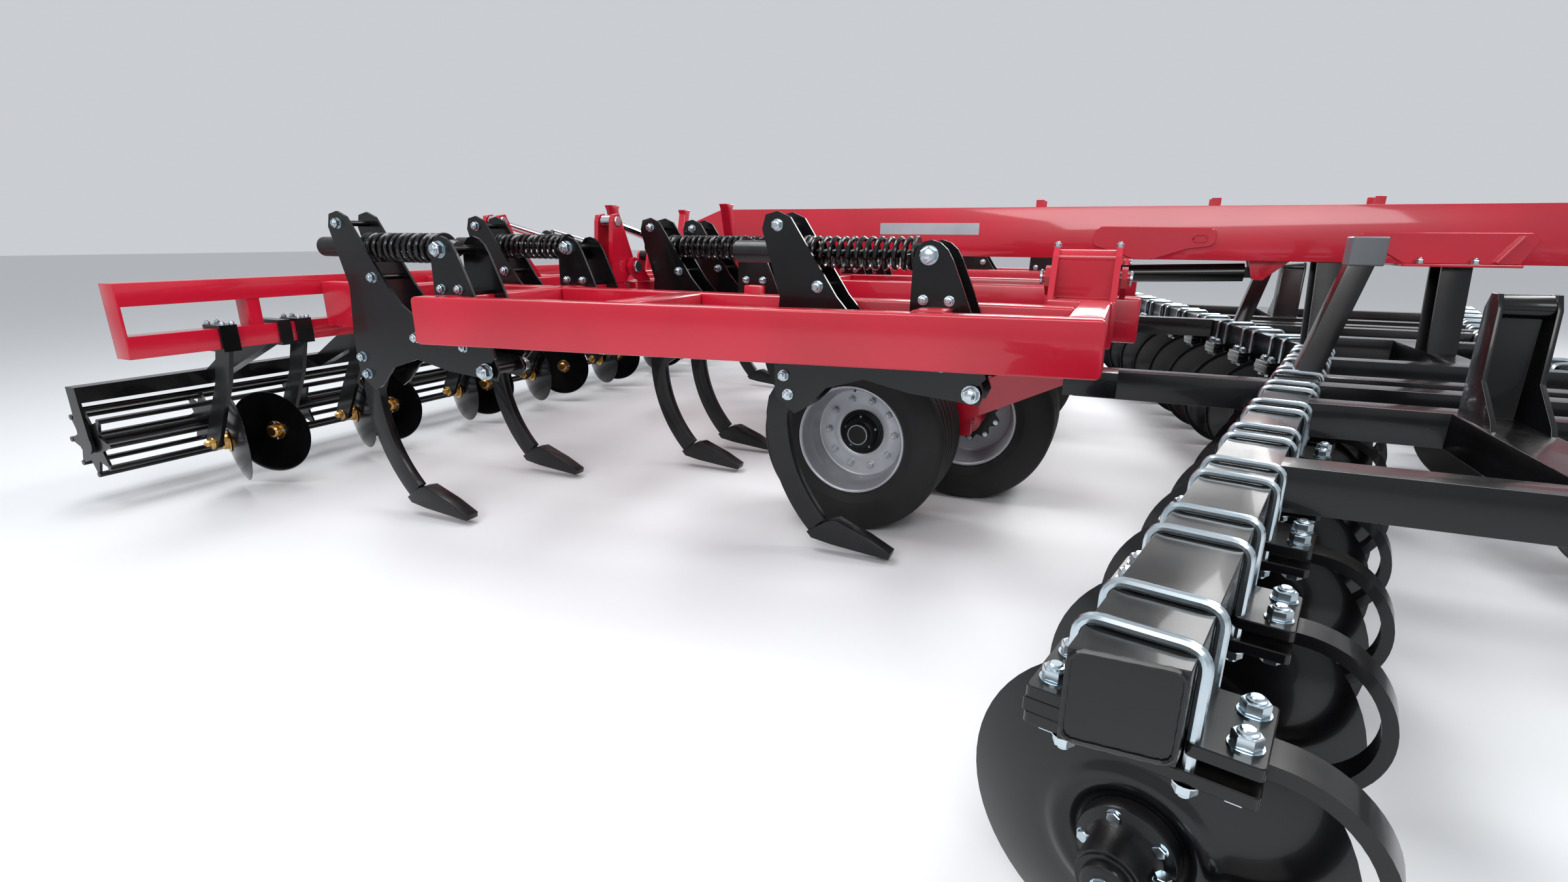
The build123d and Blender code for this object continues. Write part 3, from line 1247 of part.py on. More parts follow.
def roller_frame(y0, y1, arms):
    """Add the tube over a roller, its bearing plates and its arms to the open part."""
    half = ROLLER_TUBE_W / 2
    top, bottom = ROLLER_TUBE_Z + half, ROLLER_TUBE_Z - half
    bar(ROLLER_X - half, ROLLER_X + half, y0 - BEARING_T - RUN, y1 + BEARING_T + RUN, bottom, top)
    for y in (y0 - BEARING_T - RUN, y1 + RUN):
        with BuildSketch(Plane((0, y + BEARING_T, 0), x_dir=(1, 0, 0), z_dir=(0, -1, 0))) as bearing:
            Polygon(
                (ROLLER_X - 50.0, ROLLER_Z - 30.0),
                (ROLLER_X + 50.0, ROLLER_Z - 30.0),
                (ROLLER_X + half, bottom),
                (ROLLER_X - half, bottom),
                align=None,
            )
            with Locations((ROLLER_X, ROLLER_Z)):
                Circle(BEARING_R)
                Circle(ROLLER_SHAFT_R + SEAT, mode=Mode.SUBTRACT)
        extrude(bearing.sketch, amount=BEARING_T)
    for y in arms:
        back = BAR_X - BAR_W / 2 - SEAT
        clamp = BAR_X + BAR_W / 2 + SEAT
        z0, z1 = LOWER_BAR_TOP - BAR_W - SEAT, LOWER_BAR_TOP + SEAT
        plate_xz(
            [
                (back, z0 - 14.0),
                (back, z1 + 14.0),
                (back - 90.0, z1 + 14.0),
                (ROLLER_X + half, top),
                (ROLLER_X + half, bottom),
            ],
            y - 30.0,
            y + 30.0,
        )
        bar(back, clamp + 16.0, y - 30.0, y + 30.0, z1, z1 + 14.0)
        bar(back, clamp + 16.0, y - 30.0, y + 30.0, z0 - 14.0, z0)
        bar(clamp, clamp + 16.0, y - 30.0, y + 30.0, z0, z1)


WING_ROLLER = (1235.0, 2830.0)
CENTRE_ROLLER = (-1070.0, 1070.0)
with BuildPart() as wing_roller:
    roller(*WING_ROLLER, 4)
finish_pair(wing_roller, "wing_roller")

with BuildPart() as centre_roller:
    roller(*CENTRE_ROLLER, 5)
finish(centre_roller, "centre_roller")

with BuildPart() as wing_roller_frame:
    roller_frame(*WING_ROLLER, WING_ROLLER_ARMS)
    for unit in level_units(WING_LEVELS, True):
        add(unit)
finish_pair(wing_roller_frame, "wing_rear_arms")

with BuildPart() as centre_roller_frame:
    roller_frame(*CENTRE_ROLLER, [side * y for side in (-1, 1) for y in CENTRE_ROLLER_ARMS])
    for unit in level_units(CENTRE_LEVELS, True):
        add(unit)
        mirror(unit, about=Plane.XZ)
finish(centre_roller_frame, "centre_rear_arms")

with BuildPart() as wing_level_discs:
    for unit in level_units(WING_LEVELS, False):
        add(unit)
finish_pair(wing_level_discs, "wing_level_discs")

with BuildPart() as centre_level_discs:
    for unit in level_units(CENTRE_LEVELS, False):
        add(unit)
    mirror(about=Plane.XZ)
finish(centre_level_discs, "centre_level_discs")
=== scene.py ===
"""Looks of the folding combination cultivator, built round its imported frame.

Every length in a shape is in millimetres in the frame's own axes (X forward, Y left, Z up) and is
turned into metres when the piece is made.
"""

import json
import logging
import math
from collections.abc import Callable, Iterable, Sequence
from dataclasses import dataclass
from enum import Enum

import bmesh
import bpy
import numpy as np
from mathutils import Euler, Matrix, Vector


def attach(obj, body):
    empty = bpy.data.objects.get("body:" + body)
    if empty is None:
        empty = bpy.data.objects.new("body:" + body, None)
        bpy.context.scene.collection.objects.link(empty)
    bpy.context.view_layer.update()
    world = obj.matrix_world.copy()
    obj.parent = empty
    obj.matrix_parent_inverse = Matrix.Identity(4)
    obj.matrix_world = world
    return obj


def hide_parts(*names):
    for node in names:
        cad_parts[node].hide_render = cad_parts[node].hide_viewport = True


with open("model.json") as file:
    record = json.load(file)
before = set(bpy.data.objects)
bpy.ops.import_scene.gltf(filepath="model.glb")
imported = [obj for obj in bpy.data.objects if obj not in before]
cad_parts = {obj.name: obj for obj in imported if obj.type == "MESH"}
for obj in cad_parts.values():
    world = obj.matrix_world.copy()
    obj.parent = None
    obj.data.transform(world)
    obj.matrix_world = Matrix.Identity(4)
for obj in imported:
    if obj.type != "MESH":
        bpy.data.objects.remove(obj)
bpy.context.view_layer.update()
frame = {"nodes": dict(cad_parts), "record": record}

log = logging.getLogger("cultivator")
SCALE = 0.001
MM_IN_M = 1000.0
TURN = 2.0 * math.pi
SIDES = (("left", 1.0), ("right", -1.0))

# Stations along the machine, shared with the solids
AXLE_X = -800.0
SHORT_X, MID_X, REAR_X, LAST_X = -335.0, -1540.0, -2350.0, -3160.0
FOLD_STATIONS = (LAST_X, REAR_X)
BOX_X = 140.0

# Fold hinges: station and half the gap between the knuckle's plates, then the pin's line
KNUCKLES = ((LAST_X, 36.0), (REAR_X, 36.0), (BOX_X, 115.0))
HINGE_Y, HINGE_Z = 1150.0, 1200.0
FOLD_BASE = (250.0, 1220.0)
FOLD_LUG = (1250.0, 1440.0)

# Gang beams: their lean in plan, their section and the discs along them
GANG_SWEEP = 13.8
GANG_TOP, GANG_BOTTOM, GANG_W = 825.0, 675.0, 150.0
REAR_GANG_X, FRONT_GANG_X = 1291.0, 2150.0
GANG_END_Y, FRONT_GANG_END_Y = 3760.0, 3470.0
OUTER_TUBE_Y = 3409.0
REAR_DISCS = (3624.0, 3194.0, 2764.0, 2334.0, 1904.0, 1474.0)
FRONT_DISCS = (3194.0, 2764.0, 2334.0, 1904.0, 1474.0)
CENTRE_DISCS = (1044.0, 640.0, 245.0)
DISC_R, DISC_Z, DISC_OFFSET, DISC_ANGLE = 325.0, 335.0, 70.0, 18.0
U_BOLT_Y = 73.0

# Trip shanks: station and distance from the centre line, then the pivot's place
PIVOT_AHEAD, PIVOT_Z = 150.0, 795.0
CENTRE_SHANKS = ((MID_X, 530.0), (MID_X, 980.0))
WING_SHANKS = ((SHORT_X, 1860.0), (REAR_X, 1460.0), (REAR_X, 2258.0))

# Levelling discs: distance from the centre line and facing of each, then their place under the bar
BAR_X, LOWER_BAR_TOP = -3760.0, 920.0
LEVEL_BACK, LEVEL_Z, LEVEL_OFFSET, LEVEL_ANGLE = 270.0, 300.0, 62.0, 20.0
WING_LEVELS = ((2500.0, -1), (2130.0, 1), (1780.0, -1), (1400.0, 1))
CENTRE_LEVELS = ((985.0, -1), (600.0, 1), (250.0, -1))


class Slot(Enum):
    """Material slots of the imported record."""

    RED = "red_paint"
    BLACK = "black_paint"
    RIM = "rim_silver"
    TYRE = "tyre_rubber"
    DISC = "disc_steel"
    CHROME = "hard_chrome"


@dataclass(frozen=True)
class Finish:
    """A surface as a paint shop or mill would name it."""

    name: str
    colour: str
    shade: str
    metallic: float = 0.0
    roughness: float = 0.4
    spread: float = 0.08
    coat: float = 0.0
    specular: float = 0.5
    cloud_mm: float = 300.0
    grain_mm: float = 3.0
    bump_mm: float = 0.05
    dust: float = 0.0


# Sprayed and stoved: an even deep red with a soft wide sheen and a faint orange peel
RED_ENAMEL = Finish(
    "gloss_red_enamel", "#B90E2B", "#A80A24",
    roughness=0.30, spread=0.06, coat=0.55, specular=0.4, cloud_mm=600.0, grain_mm=6.0, bump_mm=0.03, dust=0.05,
)
# Sprayed over rolled tube: near black, with long dark reflections
BLACK_ENAMEL = Finish(
    "gloss_black_enamel", "#060607", "#0B0C0E",
    roughness=0.26, spread=0.10, coat=0.22, specular=0.3, cloud_mm=260.0, grain_mm=4.0, bump_mm=0.05, dust=0.02,
)
# Sprayed over sand-cast iron: the grain of the mould breaks the gloss
BLACK_CAST = Finish(
    "black_painted_casting", "#08090A", "#101114",
    roughness=0.36, spread=0.12, coat=0.15, specular=0.3, cloud_mm=90.0, grain_mm=2.2, bump_mm=0.35, dust=0.02,
)
# Dipped after pressing: the darkest and smoothest of the blacks
DISC_ENAMEL = Finish(
    "black_painted_disc_steel", "#050506", "#0A0B0D",
    roughness=0.22, spread=0.10, coat=0.25, specular=0.3, cloud_mm=180.0, grain_mm=6.0, bump_mm=0.03, dust=0.02,
)
# Wheel silver: fine flake that brightens the whole rim
RIM_PAINT = Finish(
    "silver_wheel_paint", "#B4B7BC", "#A2A5AB",
    metallic=0.55, roughness=0.36, coat=0.3, cloud_mm=160.0, grain_mm=0.8, bump_mm=0.03, dust=0.04,
)
# Moulded tyre rubber: matt, with dust on what faces up
RUBBER = Finish(
    "tyre_rubber", "#111112", "#18181A",
    roughness=0.62, spread=0.10, specular=0.3, cloud_mm=120.0, grain_mm=1.5, bump_mm=0.15, dust=0.10,
)
# Clear zinc plate: bright and faintly blue
BRIGHT_ZINC = Finish(
    "bright_zinc_plate", "#C6D0D6", "#B4C3CB",
    metallic=1.0, roughness=0.24, spread=0.05, cloud_mm=90.0, grain_mm=8.0, bump_mm=0.004,
)
# Yellow zinc plate: gold that drifts to rose
YELLOW_ZINC = Finish(
    "yellow_zinc_plate", "#C9A55A", "#B98F63",
    metallic=1.0, roughness=0.28, spread=0.06, cloud_mm=60.0, grain_mm=8.0, bump_mm=0.004,
)
# Satin enamel on the posts' caps: flat mid grey
GREY_ENAMEL = Finish(
    "satin_grey_enamel", "#5A5E63", "#52565B",
    roughness=0.45, spread=0.05, coat=0.2, cloud_mm=200.0, grain_mm=5.0, bump_mm=0.03, dust=0.06,
)
# Hard chrome on ground rods: a mirror
CHROME = Finish(
    "hard_chrome_plate", "#DADCE0", "#D0D3D8",
    metallic=1.0, roughness=0.08, spread=0.04, cloud_mm=80.0, grain_mm=0.6, bump_mm=0.004,
)
# Printed metallic film of the stripe: flat silver
SILVER_FILM = Finish(
    "silver_film", "#B9BCC2", "#A7ABB2",
    metallic=0.6, roughness=0.34, spread=0.05, coat=0.4, cloud_mm=200.0, grain_mm=0.8, bump_mm=0.01,
)
# Moulded cap and valve stem: soft black
CAP_BLACK = Finish(
    "moulded_black_cap", "#08090A", "#0E0F10",
    roughness=0.42, spread=0.06, specular=0.3, cloud_mm=60.0, grain_mm=1.0, bump_mm=0.03,
)
DUST = "#8C8678"
DUST_MM = 38.0
COAT_ROUGHNESS = 0.06
BUMP_STRENGTH = 0.6


def linear(colour: str, alpha: float = 1.0) -> tuple[float, float, float, float]:
    """Turn an sRGB hex colour into the linear numbers that a shader takes.

    Args:
        colour: Colour as "#RRGGBB".
        alpha: Opacity.

    Returns:
        Red, green, blue and alpha.
    """
    values = [int(colour[i : i + 2], 16) / 255.0 for i in (1, 3, 5)]
    red, green, blue = (v / 12.92 if v <= 0.04045 else ((v + 0.055) / 1.055) ** 2.4 for v in values)
    return red, green, blue, alpha


def add_node(tree: bpy.types.NodeTree, kind: str, values: dict, **settings: str) -> bpy.types.Node:
    """Add a node with its settings and links.

    Args:
        tree: The tree that takes it.
        kind: Type of the node.
        values: What each input gets: an output to link, or a value.
        settings: The node's own properties.

    Returns:
        The new node.
    """
    node = tree.nodes.new(kind)
    for name, value in settings.items():
        setattr(node, name, value)
    for name, value in values.items():
        if isinstance(value, bpy.types.NodeSocket):
            tree.links.new(value, node.inputs[name])
        else:
            node.inputs[name].default_value = value
    return node


class Paintshop:
    """Makes each finish's material once and hands it out."""

    def __init__(self) -> None:
        """Start with no material made."""
        self._made: dict[str, bpy.types.Material] = {}

    def get(self, finish: Finish) -> bpy.types.Material:
        """Give the material of a finish.

        Args:
            finish: The surface wanted.

        Returns:
            Its node material.
        """
        if finish.name not in self._made:
            self._made[finish.name] = self._build(finish)
        return self._made[finish.name]

    @staticmethod
    def _build(finish: Finish) -> bpy.types.Material:
        """Make a finish's material: two shades in clouds, dust on what faces up, and a fine grain.

        Args:
            finish: The surface wanted.

        Returns:
            Its node material.
        """
        material = bpy.data.materials.new(finish.name)
        material.use_nodes = True
        tree = material.node_tree
        shader = tree.nodes["Principled BSDF"]
        where = add_node(tree, "ShaderNodeTexCoord", {}).outputs["Object"]
        lumps = {"Scale": MM_IN_M / finish.cloud_mm, "Detail": 4.0, "Vector": where}
        cloud = add_node(tree, "ShaderNodeTexNoise", lumps).outputs["Fac"]
        grains = {"Scale": MM_IN_M / finish.grain_mm, "Detail": 2.0, "Vector": where}
        grain = add_node(tree, "ShaderNodeTexNoise", grains).outputs["Fac"]
        span = {"Value": cloud, "From Min": 0.35, "From Max": 0.65, "To Min": 0.0, "To Max": 1.0}
        share = add_node(tree, "ShaderNodeMapRange", span).outputs["Result"]
        shades = {0: share, 6: linear(finish.colour), 7: linear(finish.shade)}
        colour = add_node(tree, "ShaderNodeMix", shades, data_type="RGBA").outputs[2]
        low, high = finish.roughness - finish.spread / 2, finish.roughness + finish.spread / 2
        span = {"Value": cloud, "From Min": 0.3, "From Max": 0.7, "To Min": low, "To Max": high}
        rough = add_node(tree, "ShaderNodeMapRange", span).outputs["Result"]
        if finish.dust:
            normal = add_node(tree, "ShaderNodeNewGeometry", {}).outputs["Normal"]
            rise = add_node(tree, "ShaderNodeSeparateXYZ", {"Vector": normal}).outputs["Z"]
            span = {"Value": rise, "From Min": 0.55, "From Max": 1.0, "To Min": 0.0, "To Max": 1.0}
            upward = add_node(tree, "ShaderNodeMapRange", span).outputs["Result"]
            specks = {"Scale": MM_IN_M / DUST_MM, "Detail": 6.0, "Vector": where}
            speck = add_node(tree, "ShaderNodeTexNoise", specks).outputs["Fac"]
            span = {"Value": speck, "From Min": 0.35, "From Max": 0.75, "To Min": 0.0, "To Max": finish.dust * 2.0}
            patch = add_node(tree, "ShaderNodeMapRange", span).outputs["Result"]
            amount = add_node(tree, "ShaderNodeMath", {0: upward, 1: patch}, operation="MULTIPLY").outputs["Value"]
            dusty = {0: amount, 6: colour, 7: linear(DUST)}
            colour = add_node(tree, "ShaderNodeMix", dusty, data_type="RGBA").outputs[2]
        tree.links.new(colour, shader.inputs["Base Color"])
        tree.links.new(rough, shader.inputs["Roughness"])
        shader.inputs["Metallic"].default_value = finish.metallic
        if not finish.metallic:
            shader.inputs["Specular IOR Level"].default_value = finish.specular
        if finish.coat:
            shader.inputs["Coat Weight"].default_value = finish.coat
            shader.inputs["Coat Roughness"].default_value = COAT_ROUGHNESS
        lift = {"Strength": BUMP_STRENGTH, "Distance": finish.bump_mm * SCALE, "Height": grain}
        bump = add_node(tree, "ShaderNodeBump", lift)
        tree.links.new(bump.outputs["Normal"], shader.inputs["Normal"])
        return material


shop = Paintshop()


@dataclass
class Shape:
    """Points in millimetres, the faces between them, and the finish they take."""

    points: np.ndarray
    quads: np.ndarray
    caps: list[np.ndarray]
    finish: Finish

    def at(self, places: Iterable[np.ndarray]) -> "Shape":
        """Repeat the shape at each of some places.

        Each point is turned by the place's matrix and moved to its origin, and a mirrored place turns
        the faces round, so that they still look outwards.

        Args:
            places: Matrices from the shape's own axes to the machine's.

        Returns:
            One shape that holds every copy.
        """
        matrices = np.asarray(list(places))
        points = self.points @ matrices[:, :3, :3].transpose(0, 2, 1) + matrices[:, None, :3, 3]
        starts = np.arange(len(matrices)) * len(self.points)
        flips = np.linalg.det(matrices[:, :3, :3]) < 0
        quads = np.where(flips[:, None, None], self.quads[:, ::-1], self.quads) + starts[:, None, None]
        caps = [(cap[::-1] if flip else cap) + start for start, flip in zip(starts, flips) for cap in self.caps]
        return Shape(points.reshape(-1, 3), quads.reshape(-1, 4), caps, self.finish)

    def moved(self, x: float = 0.0, y: float = 0.0, z: float = 0.0) -> "Shape":
        """Give the shape moved along its own axes."""
        return Shape(self.points + np.array((x, y, z)), self.quads, self.caps, self.finish)


def place(
    origin: Sequence[float], x_axis: Sequence[float] = (1, 0, 0), z_axis: Sequence[float] = (0, 0, 1)
) -> np.ndarray:
    """Build the matrix of a local frame.

    Args:
        origin: Its origin.
        x_axis: Direction that its X comes nearest to.
        z_axis: Direction of its Z.

    Returns:
        A 4 by 4 matrix.
    """
    z = np.asarray(z_axis, float)
    z /= np.linalg.norm(z)
    x = np.asarray(x_axis, float)
    x = x - z * (x @ z)
    if np.linalg.norm(x) < 1e-6:
        x = np.array((0.0, 1.0, 0.0)) - z * z[1]
    x /= np.linalg.norm(x)
    matrix = np.eye(4)
    matrix[:3, 0], matrix[:3, 1], matrix[:3, 2] = x, np.cross(z, x), z
    matrix[:3, 3] = origin
    return matrix


def lying(origin: Sequence[float], along: Sequence[float], up: Sequence[float] = (0, 0, 1)) -> np.ndarray:
    """Build the matrix of a local frame whose Z lies along a direction.

    Args:
        origin: Its origin.
        along: Direction of its Z.
        up: Direction that its X comes nearest to.

    Returns:
        A 4 by 4 matrix.
    """
    return place(origin, up, along)


def hanging(origin: Sequence[float]) -> np.ndarray:
    """Give the matrix of a local frame whose Z points down."""
    return place(origin, z_axis=(0, 0, -1))


def turned_z(origin: Sequence[float], degrees: float) -> np.ndarray:
    """Give the matrix of a local frame turned about Z by an angle."""
    angle = math.radians(degrees)
    return place(origin, (math.cos(angle), math.sin(angle), 0.0))


def mirrored(matrix: np.ndarray, side: float) -> np.ndarray:
    """Give a place made on the left, on the side that 1 for left or -1 for right names."""
    return np.diag((1.0, side, 1.0, 1.0)) @ matrix


def spots(first: Iterable[np.ndarray], second: Iterable[np.ndarray]) -> list[np.ndarray]:
    """Give every place of the second list in each frame of the first."""
    second = list(second)
    return [a @ b for a in first for b in second]


def grid(rows: int, columns: int, closed: bool = False) -> np.ndarray:
    """Faces of a grid of points whose rows run round.

    A face joins a point, the next one round its row, and the two beside them in the next row.

    Args:
        rows: How many rows there are.
        columns: How many points a row has.
        closed: Whether the last row joins the first.

    Returns:
        An array with four corners a face.
    """
    row = np.arange(rows if closed else rows - 1)[:, None] * columns
    above = (row + columns) % (rows * columns)
    here = np.arange(columns)[None, :]
    right = (here + 1) % columns
    return np.stack((row + here, row + right, above + right, above + here), axis=-1).reshape(-1, 4)


def circle(radius: float, steps: int = 10) -> np.ndarray:
    """Give points of a circle about the origin, anticlockwise."""
    angles = np.linspace(0.0, TURN, steps, endpoint=False)
    return np.stack((np.cos(angles), np.sin(angles)), axis=1) * radius


def ring_of(count: int, radius: float, phase: float = 0.0) -> list[tuple[float, float]]:
    """Give points spaced evenly round a circle, from a phase in steps."""
    angles = TURN * (np.arange(count) + phase) / count
    return [(radius * math.cos(a), radius * math.sin(a)) for a in angles]


def lathe(section: Sequence[tuple[float, float]], finish: Finish, segments: int = 32, closed: bool = False) -> Shape:
    """Turn a section of radius and height about Z.

    The point at an angle is radius times its cosine and sine, at the section's height.

    Args:
        section: Radius and height of each point in turn.
        finish: Its surface.
        segments: Steps round the axis.
        closed: Whether the section's end joins its start.

    Returns:
        The turned shape.
    """
    rings = np.asarray(section, float)
    round_z = circle(1.0, segments)
    points = np.empty((len(rings), segments, 3))
    points[:, :, :2] = rings[:, None, :1] * round_z
    points[:, :, 2] = rings[:, 1:]
    return Shape(points.reshape(-1, 3), grid(len(rings), segments, closed), [], finish)


def sweep(path: np.ndarray, outline: np.ndarray, finish: Finish) -> Shape:
    """Carry an outline along a path without twisting it, and close its ends.

    At each point of the path the sideways axis of the last one is made square to the tangent again,
    and the outline stands on it and on the axis square to both.

    Args:
        path: Points of the path.
        outline: Points of the section, across the path.
        finish: Its surface.

    Returns:
        The swept shape.
    """
    path = np.asarray(path, float)
    tangents = np.gradient(path, axis=0)
    tangents /= np.linalg.norm(tangents, axis=1, keepdims=True)
    side = np.cross(tangents[0], (0.0, 0.0, 1.0))
    if np.linalg.norm(side) < 0.1:
        side = np.cross(tangents[0], (0.0, 1.0, 0.0))
    sides = np.empty_like(path)
    for i, along in enumerate(tangents):
        side = side - along * (side @ along)
        side /= np.linalg.norm(side)
        sides[i] = side
    ups = np.cross(sides, tangents)
    points = path[:, None] + outline[:, :1] * sides[:, None] + outline[:, 1:] * ups[:, None]
    rows, count = len(path), len(outline)
    ends = [np.arange(count), np.arange(rows * count - 1, (rows - 1) * count - 1, -1)]
    return Shape(points.reshape(-1, 3), grid(rows, count)[:, ::-1], ends, finish)


def rounded(corners: Sequence[tuple[float, ...]], radius: float, steps: int = 5, closed: bool = False) -> np.ndarray:
    """Round the corners of a line.

    A bend is the curve (1 - t)² a + t² b from the corner, where a and b are its reach along the runs.

    Args:
        corners: Its corners.
        radius: Radius of the bends.
        steps: Points in each bend.
        closed: Whether the line joins its start.

    Returns:
        Points of the rounded line.
    """
    corners = np.asarray(corners, float)
    t = np.linspace(0.0, 1.0, steps + 1)[:, None]
    runs = []
    count = len(corners)
    for i in range(count):
        if not closed and i in (0, count - 1):
            runs.append(corners[i : i + 1])
            continue
        before, here, after = corners[i - 1], corners[i], corners[(i + 1) % count]
        back, ahead = np.linalg.norm(before - here), np.linalg.norm(after - here)
        a, b = (before - here) / back, (after - here) / ahead
        half = math.acos(float(np.clip(a @ b, -1.0, 1.0))) / 2.0
        reach = min(radius / math.tan(half), back * 0.49, ahead * 0.49)
        runs.append(here + a * reach * (1 - t) ** 2 + b * reach * t**2)
    return np.concatenate(runs)


def prism(outline: np.ndarray, depth: float, finish: Finish, bevel: float = 2.0) -> Shape:
    """Raise an outline along Z and break its edges.

    The broken edge's inner line lies inside the outline by the bevel, along the line that halves each
    corner.

    Args:
        outline: Corners of the outline, anticlockwise.
        depth: Height of the shape, which stands on Z = 0.
        finish: Its surface.
        bevel: Width of the broken edge.

    Returns:
        The raised shape.
    """
    outline = np.asarray(outline, float)
    before = outline - np.roll(outline, 1, axis=0)
    before /= np.linalg.norm(before, axis=1, keepdims=True)
    after = np.roll(before, -1, axis=0)
    mean = np.stack((-(before[:, 1] + after[:, 1]), before[:, 0] + after[:, 0]), axis=1)
    mean /= np.linalg.norm(mean, axis=1, keepdims=True)
    cosine = np.maximum(0.35, mean[:, 1] * before[:, 0] - mean[:, 0] * before[:, 1])
    inset = outline + mean / cosine[:, None] * bevel
    loops = ((inset, 0.0), (outline, bevel), (outline, depth - bevel), (inset, depth))
    count = len(outline)
    points = np.concatenate([np.column_stack((loop, np.full(count, z))) for loop, z in loops])
    ends = [np.arange(count)[::-1], np.arange(3 * count, 4 * count)]
    return Shape(points, grid(4, count), ends, finish)


def plank(size: Sequence[float], finish: Finish, radius: float = 4.0, bevel: float = 1.5) -> Shape:
    """Make a plate with rounded corners, centred on its own middle.

    Args:
        size: Length, width and thickness.
        finish: Its surface.
        radius: Radius of the corners.
        bevel: Width of the broken edges.

    Returns:
        The plate.
    """
    x, y, z = size[0] / 2, size[1] / 2, size[2]
    outline = rounded(((-x, -y), (x, -y), (x, y), (-x, y)), radius, 3, closed=True)
    return prism(outline, z, finish, bevel).moved(z=-z / 2)


def flat(outline: Sequence[tuple[float, float]], thick: float, finish: Finish, radius: float) -> Shape:
    """A plate with rounded corners that stands in X and Z, with its back at Y = 0 and its face at -Y.

    Args:
        outline: X and Z of its corners, anticlockwise as seen from -Y.
        thick: Thickness.
        finish: Its surface.
        radius: Radius of the corners.

    Returns:
        The plate.
    """
    shape = prism(rounded(outline, radius, 6, closed=True), thick, finish, 1.5)
    return shape.at([place((0.0, 0.0, 0.0), (1, 0, 0), (0, -1, 0))])


def weld(path: Sequence[Sequence[float]], finish: Finish, size: float) -> Shape:
    """A bead of weld along a line, swollen and drawn in by a wave in steps of the welder's hand.

    Args:
        path: Corners of the line.
        finish: Its surface.
        size: Radius of the bead.

    Returns:
        The bead.
    """
    corners = np.asarray(path, float)
    runs = []
    for a, b in zip(corners, corners[1:]):
        runs.append(np.linspace(a, b, max(2, int(np.linalg.norm(b - a) / 9.0)), endpoint=False))
    centre = np.concatenate([*runs, corners[-1:]])
    bead = sweep(centre, circle(size, 6), finish)
    swell = 1.0 + 0.12 * np.sin(np.arange(len(centre)) * 2.1)
    rings = bead.points.reshape(len(centre), 6, 3)
    bead.points = (centre[:, None] + (rings - centre[:, None]) * swell[:, None, None]).reshape(-1, 3)
    return bead


def dished(radius: float, dish: float, r: np.ndarray) -> np.ndarray:
    """Height of a disc pressed to part of a ball, at a distance from its middle.

    The ball's radius is (radius² + dish²) / (2 dish), and the height is what it rises from its foot.

    Args:
        radius: Radius of the disc.
        dish: How deep it is.
        r: Distances from its middle.

    Returns:
        The heights.
    """
    ball = (radius**2 + dish**2) / (2 * dish)
    return ball - np.sqrt(ball**2 - np.asarray(r) ** 2)


def bolt(thread: float, finish: Finish, stub: float = 0.0) -> list[Shape]:
    """Make a bolt's head on its washer, or a nut with the thread standing out of it, along +Z.

    Args:
        thread: Diameter of the thread.
        finish: Its surface.
        stub: How far the thread stands out of a nut, or 0 for a head.

    Returns:
        The washer, the hexagon and, for a nut, the thread.
    """
    washer = lathe(((thread, 0.0), (thread, thread * 0.13), (0.01, thread * 0.13)), finish, 16)
    base, high = thread * 0.13, thread * (0.8 if stub else 0.64)
    hexagon = circle(thread * 1.5 / math.sqrt(3.0), 6)
    pieces = [washer, prism(hexagon, high, finish, thread * 0.07).moved(z=base)]
    if stub:
        collar, top = thread * 0.12, base + high
        profile = (
            (thread * 0.62, top - 0.5), (thread * 0.6, top + collar), (thread * 0.46, top + collar * 1.4),
            (thread * 0.46, top + stub - 1.5), (thread * 0.38, top + stub), (0.01, top + stub),
        )
        pieces.append(lathe(profile, finish, 12))
    return pieces


def bolts_at(thread: float, finish: Finish, places: Sequence[np.ndarray], stub: float = 0.0) -> list[Shape]:
    """Repeat a bolt head or a nut.

    Args:
        thread: Diameter of the thread.
        finish: Its surface.
        places: Where each stands, with Z out of the surface.
        stub: How far the thread stands out of a nut.

    Returns:
        The shapes.
    """
    return [shape.at(places) for shape in bolt(thread, finish, stub)]


def fit(piece: bpy.types.Object, body: str, replaces: Sequence[str] = ()) -> bpy.types.Object:
    """Put a piece in the scene, on its body, and hide the solids that it stands for.

    Args:
        piece: The piece.
        body: The body that carries it.
        replaces: Solids that it stands for.

    Returns:
        The piece.
    """
    bpy.context.scene.collection.objects.link(piece)
    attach(piece, body)
    if replaces:
        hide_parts(*replaces)
    log.info("%s on %s: %d faces", piece.name, body, len(piece.data.polygons))
    return piece


